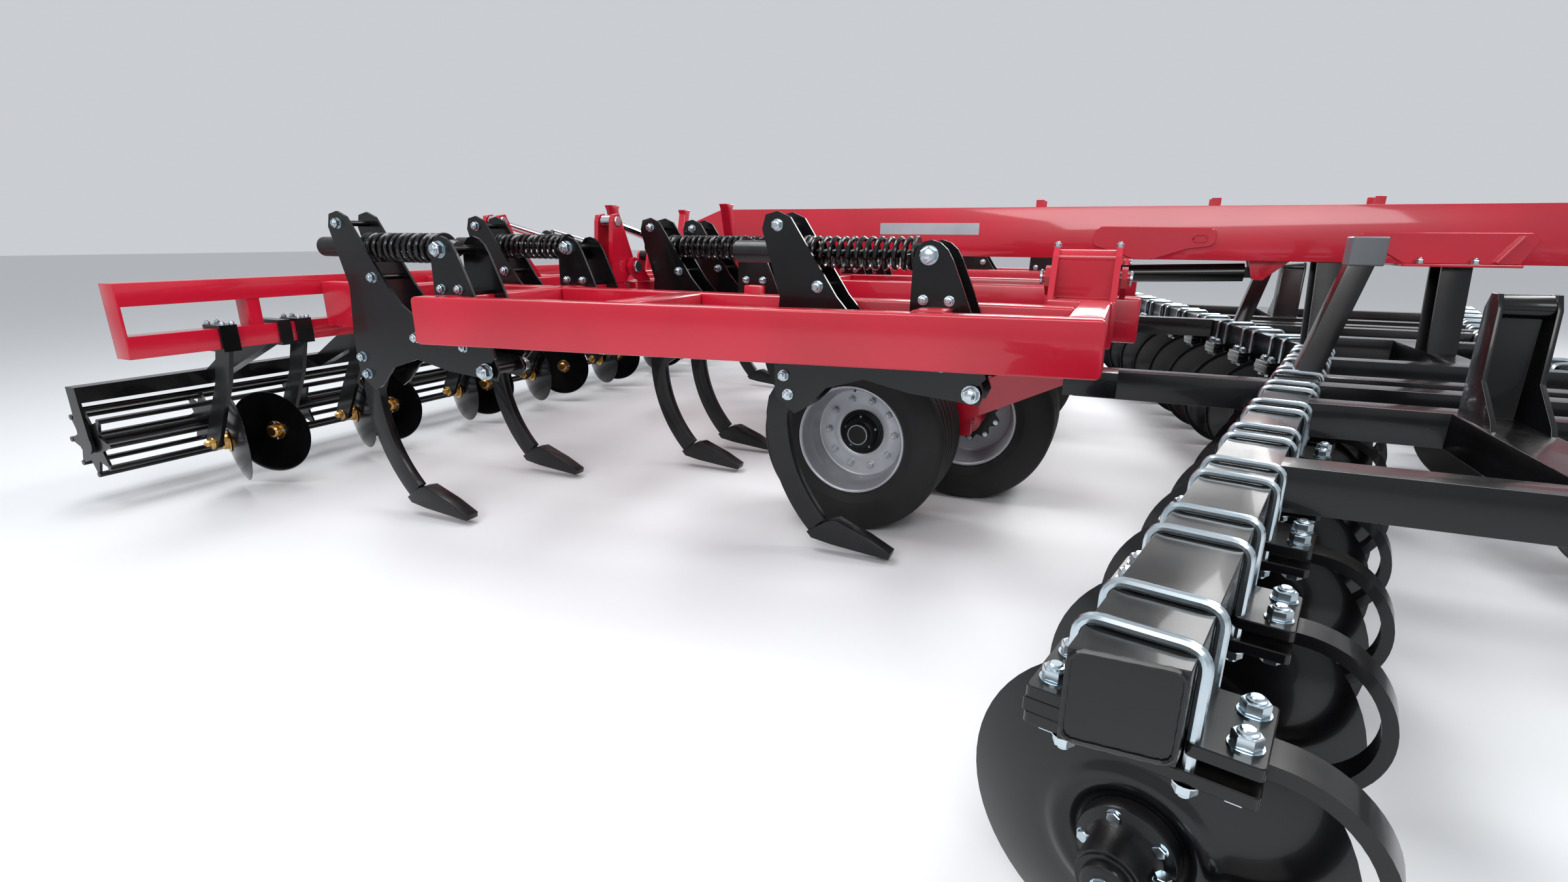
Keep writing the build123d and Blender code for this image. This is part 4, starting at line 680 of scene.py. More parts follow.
def make(
    name: str, body: str, shapes: Iterable[Shape], replaces: Sequence[str] = (), sharp: float = 34.0
) -> bpy.types.Object:
    """Make a piece of the machine from its shapes.

    Args:
        name: Name of the piece.
        body: The body that carries it.
        shapes: The shapes it is made of.
        replaces: Solids that it stands for.
        sharp: Smallest angle between faces that shows as an edge.

    Returns:
        The new object.
    """
    finishes: list[Finish] = []
    points, sizes, corners, materials = [], [], [], []
    start = 0
    for shape in shapes:
        if shape.finish not in finishes:
            finishes.append(shape.finish)
        points.append(shape.points)
        corners += [shape.quads.ravel() + start, *(cap + start for cap in shape.caps)]
        sizes += [np.full(len(shape.quads), 4), np.array([len(cap) for cap in shape.caps], int)]
        materials.append(np.full(len(shape.quads) + len(shape.caps), finishes.index(shape.finish)))
        start += len(shape.points)
    starts = np.concatenate(([0], np.cumsum(np.concatenate(sizes))))
    mesh = bpy.data.meshes.new(name)
    mesh.vertices.add(start)
    mesh.vertices.foreach_set("co", (np.concatenate(points) * SCALE).astype(np.float32).ravel())
    mesh.loops.add(int(starts[-1]))
    mesh.loops.foreach_set("vertex_index", np.concatenate(corners).astype(np.int32))
    mesh.polygons.add(len(starts) - 1)
    mesh.polygons.foreach_set("loop_start", starts[:-1].astype(np.int32))
    mesh.polygons.foreach_set("material_index", np.concatenate(materials).astype(np.int32))
    mesh.update(calc_edges=True)
    mesh.validate()
    for finish in finishes:
        mesh.materials.append(shop.get(finish))
    mesh.shade_smooth()
    mesh.set_sharp_from_angle(angle=math.radians(sharp))
    return fit(bpy.data.objects.new(name, mesh), body, replaces)


def softened(
    node: str,
    finish: Finish,
    body: str,
    width: float,
    segments: int = 2,
    cut: Callable[[bmesh.types.BMesh], None] | None = None,
) -> bpy.types.Object:
    """Stand a copy with rolled or ground edges in for a solid.

    Args:
        node: The solid.
        finish: Its surface.
        body: The body that carries it.
        width: Width of the edges, in millimetres.
        segments: Steps across each edge.
        cut: What takes a part off the copy first.

    Returns:
        The new object.
    """
    mesh = frame["nodes"][node].data.copy()
    work = bmesh.new()
    work.from_mesh(mesh)
    bmesh.ops.remove_doubles(work, verts=work.verts, dist=2e-5)
    bmesh.ops.dissolve_limit(work, angle_limit=math.radians(0.8), verts=work.verts, edges=work.edges)
    if cut:
        cut(work)
    edges = [e for e in work.edges if len(e.link_faces) == 2 and e.calc_face_angle(0.0) > math.radians(40)]
    bmesh.ops.bevel(
        work,
        geom=edges,
        offset=width * SCALE,
        offset_type="OFFSET",
        segments=segments,
        profile=0.5,
        affect="EDGES",
        clamp_overlap=True,
    )
    work.to_mesh(mesh)
    work.free()
    mesh.materials.clear()
    mesh.materials.append(shop.get(finish))
    mesh.polygons.foreach_set("material_index", np.zeros(len(mesh.polygons), np.int32))
    mesh.shade_smooth()
    mesh.set_sharp_from_angle(angle=math.radians(34))
    return fit(bpy.data.objects.new(f"{node}_edges", mesh), body, [node])


def gang_x(start: float, y: float) -> float:
    """Station of a gang beam's middle line: it leans with the sweep, back from the rear beam's middle.

    Args:
        start: Station on the centre line.
        y: Distance from the centre line.

    Returns:
        The station.
    """
    lean = -1.0 if start == REAR_GANG_X else 1.0
    return start + lean * y * math.tan(math.radians(GANG_SWEEP))


@dataclass
class DiscGang:
    """Disc units of one section: arms' clamps, U-bolts, hubs and dished discs."""

    body: str
    prefix: str
    suffix: str
    sides: tuple[float, ...]
    tables: tuple[tuple[float, tuple[float, ...]], ...]
    wire_r: float = 10.0
    wire_bend: float = 34.0
    wire_foot: float = -62.0
    clamp_w: float = 174.0
    clamp_thick: float = 22.0
    clamp_bolt_y: float = 46.0
    clamp_foot: float = -46.0
    dish: float = 65.0
    disc_thick: float = 6.0

    def places(self) -> list[tuple[np.ndarray, float]]:
        """Places of the units under the beams, and the way each disc looks.

        Returns:
            Each unit's matrix with the turn of its disc in it.
        """
        found = []
        for start, table in self.tables:
            rear = start == REAR_GANG_X
            lean = GANG_SWEEP if rear else -GANG_SWEEP
            turn = 90.0 - DISC_ANGLE + GANG_SWEEP
            for y in table:
                unit = turned_z((gang_x(start, y), y, GANG_BOTTOM), lean)
                found += [(mirrored(unit, side), -turn if rear else turn) for side in self.sides]
        return found

    def u_bolts(self, units: Sequence[np.ndarray]) -> list[Shape]:
        """U-bolts over the beam and the bolts of the clamp plates.

        Args:
            units: Places of the units.

        Returns:
            The shapes.
        """
        reach = GANG_W / 2 + self.wire_r + 1.0
        top = GANG_W + self.wire_r + 0.5
        corners = ((reach, 0.0, self.wire_foot), (reach, 0.0, top), (-reach, 0.0, top), (-reach, 0.0, self.wire_foot))
        bow = sweep(rounded(corners, self.wire_bend, 6), circle(self.wire_r), BRIGHT_ZINC)
        shapes = [bow.at(spots(units, [place((0.0, dy, 0.0)) for dy in (-U_BOLT_Y, U_BOLT_Y)]))]
        plate = [(x, dy) for dy in (-self.clamp_bolt_y, self.clamp_bolt_y) for x in (146.0, -118.0)]
        nuts = [place((x, dy, self.clamp_thick)) for x, dy in plate]
        heads = [hanging((x, dy, self.clamp_foot)) for x, dy in plate]
        under = [hanging((x, dy, self.clamp_foot)) for dy in (-U_BOLT_Y, U_BOLT_Y) for x in (-reach, reach)]
        shapes += bolts_at(24.0, BRIGHT_ZINC, spots(units, nuts), 7.0)
        shapes += bolts_at(24.0, BRIGHT_ZINC, spots(units, heads))
        shapes += bolts_at(20.0, BRIGHT_ZINC, spots(units, under), 8.0)
        return shapes

    def clamps(self, units: Sequence[np.ndarray]) -> list[Shape]:
        """Plates above and below the flat of each arm, with a packer behind it.

        Args:
            units: Places of the units.

        Returns:
            The shapes.
        """
        # Length, thickness, station and height of each plate
        plates = (
            (98.0, self.clamp_thick, 127.0, 11.0),
            (72.0, self.clamp_thick, -114.0, 11.0),
            (326.0, self.clamp_thick, 13.0, -35.0),
        )
        shapes = []
        for x, z, at, high in plates:
            shapes.append(plank((x, self.clamp_w, z), BLACK_ENAMEL, 10.0, 2.0).moved(at, 0.0, high))
        shapes.append(plank((60.0, self.clamp_w, 24.0), BLACK_ENAMEL, 4.0, 1.0).moved(-122.0, 0.0, -12.0))
        return [shape.at(units) for shape in shapes]

    def blade(self) -> Shape:
        """One dished disc about Z, its back at the origin and its hollow face towards +Z.

        Returns:
            The disc.
        """
        edge = dished(DISC_R, self.dish, DISC_R)
        out = np.linspace(160.0, DISC_R - 12.0, 8)
        home = np.linspace(DISC_R - 1.0, 158.0, 9)
        face = [(0.01, 25.0), (60.0, 25.0), (94.0, 25.0), (104.0, 21.0)]
        face += [(112.0, 14.0), (124.0, 11.0), (138.0, 13.0), (150.0, 19.0)]
        face += list(zip(out, dished(DISC_R, self.dish, out) + self.disc_thick))
        face += [(DISC_R - 0.6, edge + 2.2), (DISC_R, edge)]
        back = list(zip(home, dished(DISC_R, self.dish, home)))
        back += [(150.0, 12.0), (142.0, 7.5), (132.0, 4.5), (122.0, 4.0), (112.0, 6.0)]
        back += [(104.0, 10.5), (98.0, 16.0), (92.0, 19.0), (60.0, 19.0), (0.01, 19.0)]
        return lathe(face + back, DISC_ENAMEL, 64)

    def hubs(self, axes: Sequence[np.ndarray]) -> list[Shape]:
        """Bearing hubs between the arms and the discs, with their bolts.

        Args:
            axes: Places of the disc axes, with Z along each axis from its arm.

        Returns:
            The shapes.
        """
        outer = DISC_OFFSET + 25.0
        profile = (
            (0.01, -44.0), (34.0, -44.0), (40.0, -40.0), (42.0, -26.0), (56.0, -22.0), (58.0, -4.0), (58.0, 40.0),
            (66.0, 52.0), (84.0, 58.0), (86.0, 62.0), (86.0, DISC_OFFSET + 18.0), (60.0, DISC_OFFSET + 19.0),
        )
        cap = ((0.01, 44.0), (26.0, 44.0), (38.0, 36.0), (42.0, 24.0), (42.0, 0.0))
        shapes = [lathe(profile, BLACK_CAST, 36).at(axes), lathe(cap, BLACK_CAST, 32).moved(z=outer).at(axes)]
        ring = ring_of(5, 68.0, 20.0 / 72.0)
        shapes += bolts_at(14.0, BRIGHT_ZINC, spots(axes, [hanging((x, y, 57.0)) for x, y in ring]))
        shapes += bolts_at(14.0, BRIGHT_ZINC, spots(axes, [place((x, y, outer)) for x, y in ring]), 5.0)
        shapes += bolts_at(22.0, BRIGHT_ZINC, spots(axes, [hanging((0, 0, -44.0))]), 8.0)
        return shapes

    def ends(self) -> list[Shape]:
        """Weld beads round the cap plates on the outer ends of the beams.

        Returns:
            The shapes.
        """
        inset = 3.0
        reach = GANG_W / 2 / math.cos(math.radians(GANG_SWEEP)) - inset
        middle, rise = (GANG_TOP + GANG_BOTTOM) / 2, GANG_W / 2 - inset
        shapes = []
        for start, end in ((REAR_GANG_X, GANG_END_Y), (FRONT_GANG_X, FRONT_GANG_END_Y)):
            x = gang_x(start, end)
            corners = [(x + dx * reach, end, middle + dz * rise) for dx, dz in ((-1, -1), (1, -1), (1, 1), (-1, 1))]
            path = rounded(corners, 22.0, 5, closed=True)
            bead = weld([*path, path[0]], BLACK_ENAMEL, 4.0)
            shapes += [bead.at([mirrored(np.eye(4), sign)]) for sign in self.sides]
        return shapes

    def build(self) -> None:
        """Make the section's disc units."""
        units = self.places()
        eye_z = 12.0 - (GANG_BOTTOM - DISC_Z)
        axes = []
        for unit, turn in units:
            angle = math.radians(turn)
            axes.append(unit @ lying((0.0, 0.0, eye_z), (math.cos(angle), math.sin(angle), 0.0)))
        beams = [unit for unit, _ in units]
        make(f"{self.prefix}_gang_bolts{self.suffix}", self.body, self.u_bolts(beams))
        plates = self.clamps(beams)
        if self.prefix == "wing":
            plates += self.ends()
        make(f"{self.prefix}_gang_clamps{self.suffix}", self.body, plates)
        foot = [place((x, y, eye_z + 12.0)) for x in (72.0, 150.0) for y in (-19.0, 19.0)]
        heads = bolts_at(16.0, BRIGHT_ZINC, spots(beams, foot))
        make(f"{self.prefix}_arm_bolts{self.suffix}", self.body, heads)
        make(f"{self.prefix}_disc_hubs{self.suffix}", self.body, self.hubs(axes))
        discs = self.blade().at(spots(axes, [place((0, 0, DISC_OFFSET))]))
        name = f"{self.prefix}_disc_blades{self.suffix}"
        make(name, self.body, [discs], [f"{self.prefix}_discs{self.suffix}"], 50.0)


@dataclass
class TripShanks:
    """Trip shanks of one section: wound springs on their rods, pins, nuts and the tines' bolts."""

    body: str
    prefix: str
    suffix: str
    sides: tuple[float, ...]
    table: tuple[tuple[float, float], ...]
    sleeve_end: float
    axis_z: float = 510.0
    start: float = -708.0
    end: float = -268.0
    wire_r: float = 10.5
    mean_r: float = 55.0
    turns: int = 12
    turn_steps: int = 22
    pipe_start: float = -730.3

    def places(self) -> list[np.ndarray]:
        """Places of the shanks' pivots.

        Returns:
            Their matrices.
        """
        rests = [place((station + PIVOT_AHEAD, y, PIVOT_Z)) for station, y in self.table]
        return [mirrored(rest, side) for rest in rests for side in self.sides]

    def coil(self) -> Shape:
        """A wound spring with closed ends, along local X.

        The wire runs round at the mean radius. Its way along grows with the square of the turn in
        each closed end and evenly between them.

        Returns:
            The spring.
        """
        t = np.linspace(0.0, 1.0, self.turns * self.turn_steps + 1)
        ease = 0.08
        along = np.where(t < ease, t * t / (2 * ease), t - ease / 2)
        along = np.where(t > 1 - ease, 1 - ease - (1 - t) ** 2 / (2 * ease), along)
        along /= along[-1]
        x = self.start + self.wire_r + (self.end - self.start - 2 * self.wire_r) * along
        angle = TURN * self.turns * t
        path = np.stack((x, self.mean_r * np.cos(angle), self.mean_r * np.sin(angle)), axis=1)
        return sweep(path, circle(self.wire_r, 9), BLACK_ENAMEL).moved(z=self.axis_z)

    def spring(self) -> list[Shape]:
        """The wound spring with its seats, rod, pipe and sleeve, along local X.

        Returns:
            The shapes.
        """
        length = self.pipe_start - self.sleeve_end
        seat = ((0.01, 0.0), (64.0, 0.0), (67.0, 3.0), (67.0, 11.0), (64.0, 14.0), (0.01, 14.0))
        rod = ((0.01, 0.0), (15.0, 0.0), (15.0, 540.0), (0.01, 540.0))
        pipe = (
            (45.0, 0.0), (45.0, length - 3.0), (42.0, length), (36.0, length),
            (36.0, length - 30.0), (0.01, length - 30.0),
        )
        sleeve = ((24.0, 0.0), (38.0, 0.0), (38.0, 60.0), (30.0, 78.0), (15.0, 80.0))
        # Section, finish, steps round, station and direction of each turned piece
        turned = (
            (seat, BLACK_CAST, 36, self.start - 14.0, 1.0),
            (seat, BLACK_CAST, 36, self.end, 1.0),
            (rod, BLACK_ENAMEL, 16, -750.0, 1.0),
            (pipe, BLACK_CAST, 32, self.pipe_start, -1.0),
            (sleeve, BLACK_CAST, 28, self.end + 8.0, 1.0),
        )
        shapes = [self.coil()]
        for section, finish, steps, x, way in turned:
            shapes.append(lathe(section, finish, steps).at([lying((x, 0.0, self.axis_z), (way, 0, 0))]))
        return shapes

    def build(self) -> None:
        """Make the section's springs and fasteners."""
        units = self.places()
        springs = [shape.at(units) for shape in self.spring()]
        name = f"{self.prefix}_coil_springs{self.suffix}"
        make(name, self.body, springs, [f"{self.prefix}_springs{self.suffix}"])
        # Thread, stub, distance from the shank's middle plane, and X and Z of each fastener
        rows = (
            (36.0, 12.0, 99.5, ((0.0, 0.0),)),
            (36.0, 12.0, 93.5, ((-190.0, 508.0),)),
            (24.0, 8.0, 79.5, ((-815.0, 615.0), (-640.0, 380.0), (-420.0, 120.0), (-770.0, -70.0), (-790.0, 10.0))),
            (20.0, 8.0, 93.5, ((-105.0, 345.0), (-205.0, 345.0), (-120.0, 95.0))),
        )
        shapes = []
        for thread, stub, out, table in rows:
            sides = [lying((x, face * out, z), (0, face, 0)) for face in (-1.0, 1.0) for x, z in table]
            shapes += bolts_at(thread, BRIGHT_ZINC, spots(units, sides), stub)
        make(f"{self.prefix}_shank_bolts{self.suffix}", self.body, shapes)


@dataclass
class RoadWheel:
    """A transport wheel: deep silver rim with its nuts, black hub, and ribbed tyre."""

    name: str
    side: str
    centre: tuple[float, float, float]
    outward: float
    tyre_r: float = 450.0
    groove: float = 13.0
    nut_ring: float = 167.5
    star_ring: float = 143.0

    def tyre(self) -> Shape:
        """A tyre with ribs round its tread, about Z.

        Returns:
            The tyre.
        """
        top, crown = self.tyre_r, 0.012
        half = [(0.0, top)]
        for middle in (34.0, 92.0, 146.0):
            high = top - middle * crown
            half += [(middle - 6.0, high), (middle - 4.5, top - self.groove)]
            half += [(middle + 4.5, top - self.groove), (middle + 6.0, high - 0.5)]
        half += [(164.0, 447.0), (178.0, 441.0), (186.0, 430.0), (190.0, 415.0), (195.0, 388.0), (199.0, 360.0)]
        half += [(200.0, 340.0), (198.5, 322.0), (196.0, 312.0), (196.5, 309.0), (195.5, 306.0), (190.0, 290.0)]
        half += [(184.0, 276.0), (181.0, 268.0), (180.0, 263.5), (168.5, 262.6), (168.0, 249.0)]
        section = [(r, -a) for a, r in reversed(half)] + [(r, a) for a, r in half[1:]]
        return lathe(section, RUBBER, 128, closed=True)

    @staticmethod
    def rim() -> Shape:
        """The rim with its disc, about Z, its open side towards +Z.

        Returns:
            The rim.
        """
        # Outer flange, deep dish and disc, inner barrel, inner flange, and the bed under the tyre
        section = (
            (262.0, 172.0), (261.0, 178.0), (257.0, 182.0), (251.0, 182.0), (246.0, 178.0), (243.0, 170.0),
            (240.0, 130.0), (236.0, 116.0), (226.0, 98.0), (222.0, 90.0), (222.0, 24.0), (218.0, 14.0),
            (208.0, 10.0), (150.0, 10.0), (114.0, 10.0), (110.0, 7.0), (110.0, -4.0), (112.0, -6.0),
            (206.0, -6.0), (216.0, -10.0), (222.0, -20.0), (222.0, -84.0), (236.0, -106.0), (243.0, -165.0),
            (246.0, -178.0), (251.0, -182.0), (257.0, -182.0), (261.0, -178.0), (262.0, -172.0),
            (258.0, -171.0), (249.0, -168.0), (246.5, -100.0), (232.0, -80.0), (232.0, 90.0), (246.5, 110.0),
            (249.0, 168.0), (258.0, 171.0),
        )
        return lathe(section[::-1], RIM_PAINT, 96, closed=True)

    def star(self) -> Shape:
        """The drum's flange: ten lobes, whose radius swings about the ring of its bolts.

        Returns:
            The flange.
        """
        angle = np.linspace(0.0, TURN, 80, endpoint=False)
        reach = self.star_ring + 17.0 * np.cos(10 * angle)
        outline = np.stack((reach * np.cos(angle), reach * np.sin(angle)), axis=1)
        return prism(outline, 20.0, BLACK_CAST).moved(z=-26.5)

    def hub(self) -> list[Shape]:
        """The hub, its cap and flange, and the red drum behind it.

        Returns:
            The shapes.
        """
        front = (
            (109.5, -4.0), (109.5, 12.0), (106.0, 16.0), (100.0, 17.0), (94.0, 12.0), (88.0, 14.0), (76.0, 34.0),
            (70.0, 44.0), (62.0, 48.0), (58.0, 50.0), (58.0, 66.0), (55.0, 71.0), (50.0, 74.0), (46.0, 75.0),
            (44.0, 72.0), (0.01, 72.0),
        )
        trim = ((50.0, 74.0), (49.0, 77.0), (46.0, 77.0), (44.5, 73.0))
        drum = (
            (80.0, -24.0), (80.0, -30.0), (76.0, -34.0), (76.0, -150.0), (82.0, -154.0), (82.0, -172.0),
            (70.0, -178.0), (41.0, -180.0),
        )
        stem = ((0.01, 34.0), (3.5, 34.0), (4.5, 12.0), (7.0, 4.0), (7.0, 0.0))
        shapes = [lathe(front, CAP_BLACK, 64), lathe(trim, RIM_PAINT, 48), lathe(drum, RED_ENAMEL, 48)]
        for z in (-60.0, -84.0, -108.0):
            shapes.append(lathe(((76.0, z - 3.0), (79.0, z), (76.0, z + 3.0)), RED_ENAMEL, 48))
        shapes.append(self.star())
        nuts = [place((x, y, 10.0)) for x, y in ring_of(10, self.nut_ring, 0.5)]
        heads = [hanging((x, y, -26.5)) for x, y in ring_of(10, self.star_ring)]
        small = [lying((79.0 * x, 79.0 * y, 28.0), (0.85 * x, 0.85 * y, 0.5)) for x, y in ring_of(5, 1.0)]
        shapes += bolts_at(19.0, RIM_PAINT, nuts, 9.0)
        shapes += bolts_at(14.0, BRIGHT_ZINC, heads)
        shapes += bolts_at(7.0, BRIGHT_ZINC, small)
        shapes.append(lathe(stem, CAP_BLACK, 12).at([lying((233.0, 0.0, 100.0), (-0.25, 0.0, 0.97))]))
        return shapes

    def build(self) -> None:
        """Make the wheel."""
        body = f"wheel_{self.name}_{self.side}"
        tyre = f"tyre_{self.name}_{self.side}"
        axis = [lying(self.centre, (0.0, self.outward, 0.0))]
        make(f"{tyre}_ribbed", body, [self.tyre().at(axis)], [tyre], 50.0)
        rim = [shape.at(axis) for shape in (self.rim(), *self.hub())]
        make(f"rim_{self.name}_{self.side}", body, rim, [body], 40.0)


@dataclass
class FoldCylinders:
    """Glands, ports and pipes of one side's fold cylinders."""

    side: str
    sign: float
    head_z: float = 548.0
    base_z: float = 96.0
    pipe_r: float = 6.0

    def build(self) -> None:
        """Make the fittings of both cylinders."""
        run = np.array((0.0, (FOLD_LUG[0] - FOLD_BASE[0]) * self.sign, FOLD_LUG[1] - FOLD_BASE[1]))
        along = run / np.linalg.norm(run)
        up = np.cross(along, (1.0, 0.0, 0.0)) * -self.sign
        tube = ((30.0, 60.0), (43.0, 66.0), (43.0, 560.0), (46.5, 563.0), (46.5, 604.0), (44.0, 608.0), (23.0, 608.0))
        notch = ((46.5, 575.0), (48.5, 577.0), (48.5, 592.0), (46.5, 594.0))
        port = lathe(((14.0, 38.0), (14.0, 54.0), (11.0, 56.0), (11.0, 60.0)), BLACK_ENAMEL, 6)
        low, high = self.base_z, self.head_z
        pipe = rounded(((58.0, 0.0, low), (72.0, 0.0, low), (72.0, 0.0, 160.0), (60.0, 0.0, high)), 16.0, 5)
        shapes = []
        for station in FOLD_STATIONS:
            axis = lying((station, FOLD_BASE[0] * self.sign, FOLD_BASE[1]), along, up)
            shapes += [lathe(tube, BLACK_ENAMEL, 40).at([axis]), lathe(notch, BLACK_ENAMEL, 8).at([axis])]
            shapes.append(port.at([axis @ lying((0, 0, z), (1, 0, 0)) for z in (low, high)]))
            shapes.append(sweep(pipe, circle(self.pipe_r, 8), BRIGHT_ZINC).at([axis]))
        make(f"cylinder_fittings_{self.side}", f"fold_barrels_{self.side}", shapes)


@dataclass
class PinHeads:
    """Heads of the fold hinges' pins and of the cylinders' pins."""

    knuckle_out: float = 68.0
    lug_out: float = 61.0

    def build(self) -> None:
        """Make the heads of the centre and of each wing."""
        faces = (-1.0, 1.0)
        head = lathe(((0.01, 10.0), (30.0, 10.0), (33.0, 7.0), (33.0, 0.0)), BRIGHT_ZINC, 28)
        small = lathe(((0.01, 8.0), (24.0, 8.0), (26.0, 5.0), (26.0, 0.0)), BRIGHT_ZINC, 28)
        centre = [
            lying((station + face * (inner + self.knuckle_out), HINGE_Y * sign, HINGE_Z), (face, 0, 0))
            for _, sign in SIDES
            for face in faces
            for station, inner in KNUCKLES
        ]
        make("hinge_pin_heads", "centre_frame", [head.at(centre)])
        for side, sign in SIDES:
            lugs = [
                lying((station + face * self.lug_out, FOLD_LUG[0] * sign, FOLD_LUG[1]), (face, 0, 0))
                for face in faces
                for station in FOLD_STATIONS
            ]
            make(f"lug_pin_heads_{side}", f"wing_{side}", [small.at(lugs)])


def without_outer_tube(work: bmesh.types.BMesh) -> None:
    """Take the outermost tube between the gang beams off a wing's frame and close the beams.

    The planes of the beams' facing sides cut the mesh, what lies between them in the tube's width
    goes, and the two openings left are filled.

    Args:
        work: The frame's mesh, in metres.
    """
    slope = math.tan(math.radians(GANG_SWEEP))
    half = GANG_W / 2 / math.cos(math.radians(GANG_SWEEP))
    sign = math.copysign(1.0, sum(v.co.y for v in work.verts))
    planes = []
    for start, lean in ((REAR_GANG_X, -1.0), (FRONT_GANG_X, 1.0)):
        centre = Vector(((start - lean * half) * SCALE, 0.0, 0.0))
        planes.append((centre, Vector((1.0, -lean * slope * sign, 0.0)).normalized()))
    for centre, normal in planes:
        geometry = [*work.verts, *work.edges, *work.faces]
        bmesh.ops.bisect_plane(work, geom=geometry, plane_co=centre, plane_no=normal, dist=1e-5)
    low, high = (OUTER_TUBE_Y - GANG_W / 2) * SCALE, (OUTER_TUBE_Y + GANG_W / 2) * SCALE
    tube = []
    for face in work.faces:
        middle = face.calc_center_median()
        past_rear = (middle - planes[0][0]) @ planes[0][1] > 1e-4
        short_of_front = (middle - planes[1][0]) @ planes[1][1] < -1e-4
        if past_rear and short_of_front and low < abs(middle.y) < high:
            tube.append(face)
    bmesh.ops.delete(work, geom=tube, context="FACES")
    bmesh.ops.holes_fill(work, edges=[e for e in work.edges if e.is_boundary], sides=0)
    bmesh.ops.dissolve_limit(work, angle_limit=math.radians(0.8), verts=work.verts, edges=work.edges)


@dataclass
class FrameEdges:
    """Rolled edges of the square tubes and ground edges of the tines."""

    # Width of the edges of each red solid of the centre, then of each of a wing, with its steps
    centre: tuple[tuple[str, float], ...] = (
        ("centre_cross_tubes", 12.0),
        ("centre_side_tubes", 6.0),
        ("tongue", 8.0),
        ("centre_rear_frame", 8.0),
    )
    wing: tuple[tuple[str, float, int], ...] = (
        ("wing_cross_tubes", 12.0, 2),
        ("wing_long_tubes", 9.0, 3),
        ("wing_rear_frame", 8.0, 2),
    )
    gang_edge: float = 14.0
    tine_edge: float = 6.0

    def build(self) -> None:
        """Stand the softened copies in for the solids."""
        for node, width in self.centre:
            softened(node, RED_ENAMEL, "centre_frame", width)
        softened("centre_gang_frame", BLACK_ENAMEL, "centre_frame", self.gang_edge, 3)
        for side, _ in SIDES:
            body = f"wing_{side}"
            for node, width, steps in self.wing:
                softened(f"{node}_{side}", RED_ENAMEL, body, width, steps)
            gang = f"wing_gang_frame_{side}"
            softened(gang, BLACK_ENAMEL, body, self.gang_edge, 3, without_outer_tube)
            softened(f"wing_tines_{side}", BLACK_CAST, body, self.tine_edge)
        softened("centre_tines", BLACK_CAST, "centre_frame", self.tine_edge)


@dataclass
class TongueTrim:
    """Stiffening plates, plain stripe, foot plate and hose clips of the tongue."""

    side_y: float = 100.0
    plate_thick: float = 9.0
    stripe: tuple[float, float, float] = (615.0, 67.0, 0.6)
    stripe_at: tuple[float, float] = (-842.5, 1418.5)
    clip_x: tuple[float, ...] = (1420.0, 700.0, -200.0)

    def plates(self, sign: float) -> list[Shape]:
        """Stiffening plates of one side with their weld, slot and rib.

        Args:
            sign: 1 for the right side, -1 for the left.

        Returns:
            The shapes.
        """
        # Corners in X and Z of each plate, and the radius of its bends
        rear = ((103, 1336), (330, 1262), (427, 1262), (590, 1318), (722, 1336), (722, 1424), (123, 1431))
        fore = ((1365, 1372), (1450, 1330), (1560, 1262), (2010, 1262), (2062, 1370), (2036, 1406), (1365, 1406))
        slot = ((615, 1355), (680, 1355), (680, 1392), (615, 1392))
        shapes = []
        side = mirrored(place((0.0, -self.side_y, 0.0)), sign)
        for outline, bend in ((rear, 38.0), (fore, 26.0)):
            path = rounded([(x, 0.0, z) for x, z in outline], bend, 6, closed=True)
            bead = weld([*path, path[0]], RED_ENAMEL, 4.0)
            shapes += [flat(outline, self.plate_thick, RED_ENAMEL, bend).at([side]), bead.at([side])]
        path = rounded([(x, 0.0, z) for x, z in slot], 18.0, 6, closed=True)
        rim = sweep(np.vstack((path, path[:2])), circle(5.0, 6), RED_ENAMEL)
        shapes.append(rim.at([mirrored(place((0.0, -self.side_y - self.plate_thick, 0.0)), sign)]))
        rib = plank((150.0, 9.0, 34.0), RED_ENAMEL, 4.0, 1.0)
        shapes.append(rib.at([mirrored(place((1955.0, -126.0, 1330.0), (0.55, 0.0, 0.83), (0, -1, 0)), sign)]))
        return shapes

    def build(self) -> None:
        """Make the tongue's trim."""
        shapes, bolts, film = [], [], []
        stripe = plank(self.stripe, SILVER_FILM, 3.0, 0.2)
        x, z = self.stripe_at
        for sign in (1.0, -1.0):
            shapes += self.plates(sign)
            film.append(stripe.at([mirrored(place((x, -self.side_y - 0.4, z), (1, 0, 0), (0, -1, 0)), sign)]))
            bolts += [mirrored(place((x_bolt, -128.0, 1262.0)), sign) for x_bolt in (1619.0, 1835.0)]
        shapes.append(plank((470.0, 300.0, 12.0), RED_ENAMEL, 12.0, 1.5).at([place((1780.0, 0.0, 1253.8))]))
        clip = plank((46.0, 12.0, 40.0), RED_ENAMEL, 4.0, 1.0)
        shapes.append(clip.at([place((x_clip, y, 1560.0)) for x_clip in self.clip_x for y in (-70.0, 70.0)]))
        make("tongue_plates", "centre_frame", shapes)
        make("tongue_stripes", "centre_frame", film)
        make("tongue_foot_bolts", "centre_frame", bolts_at(20.0, BRIGHT_ZINC, bolts, 10.0))


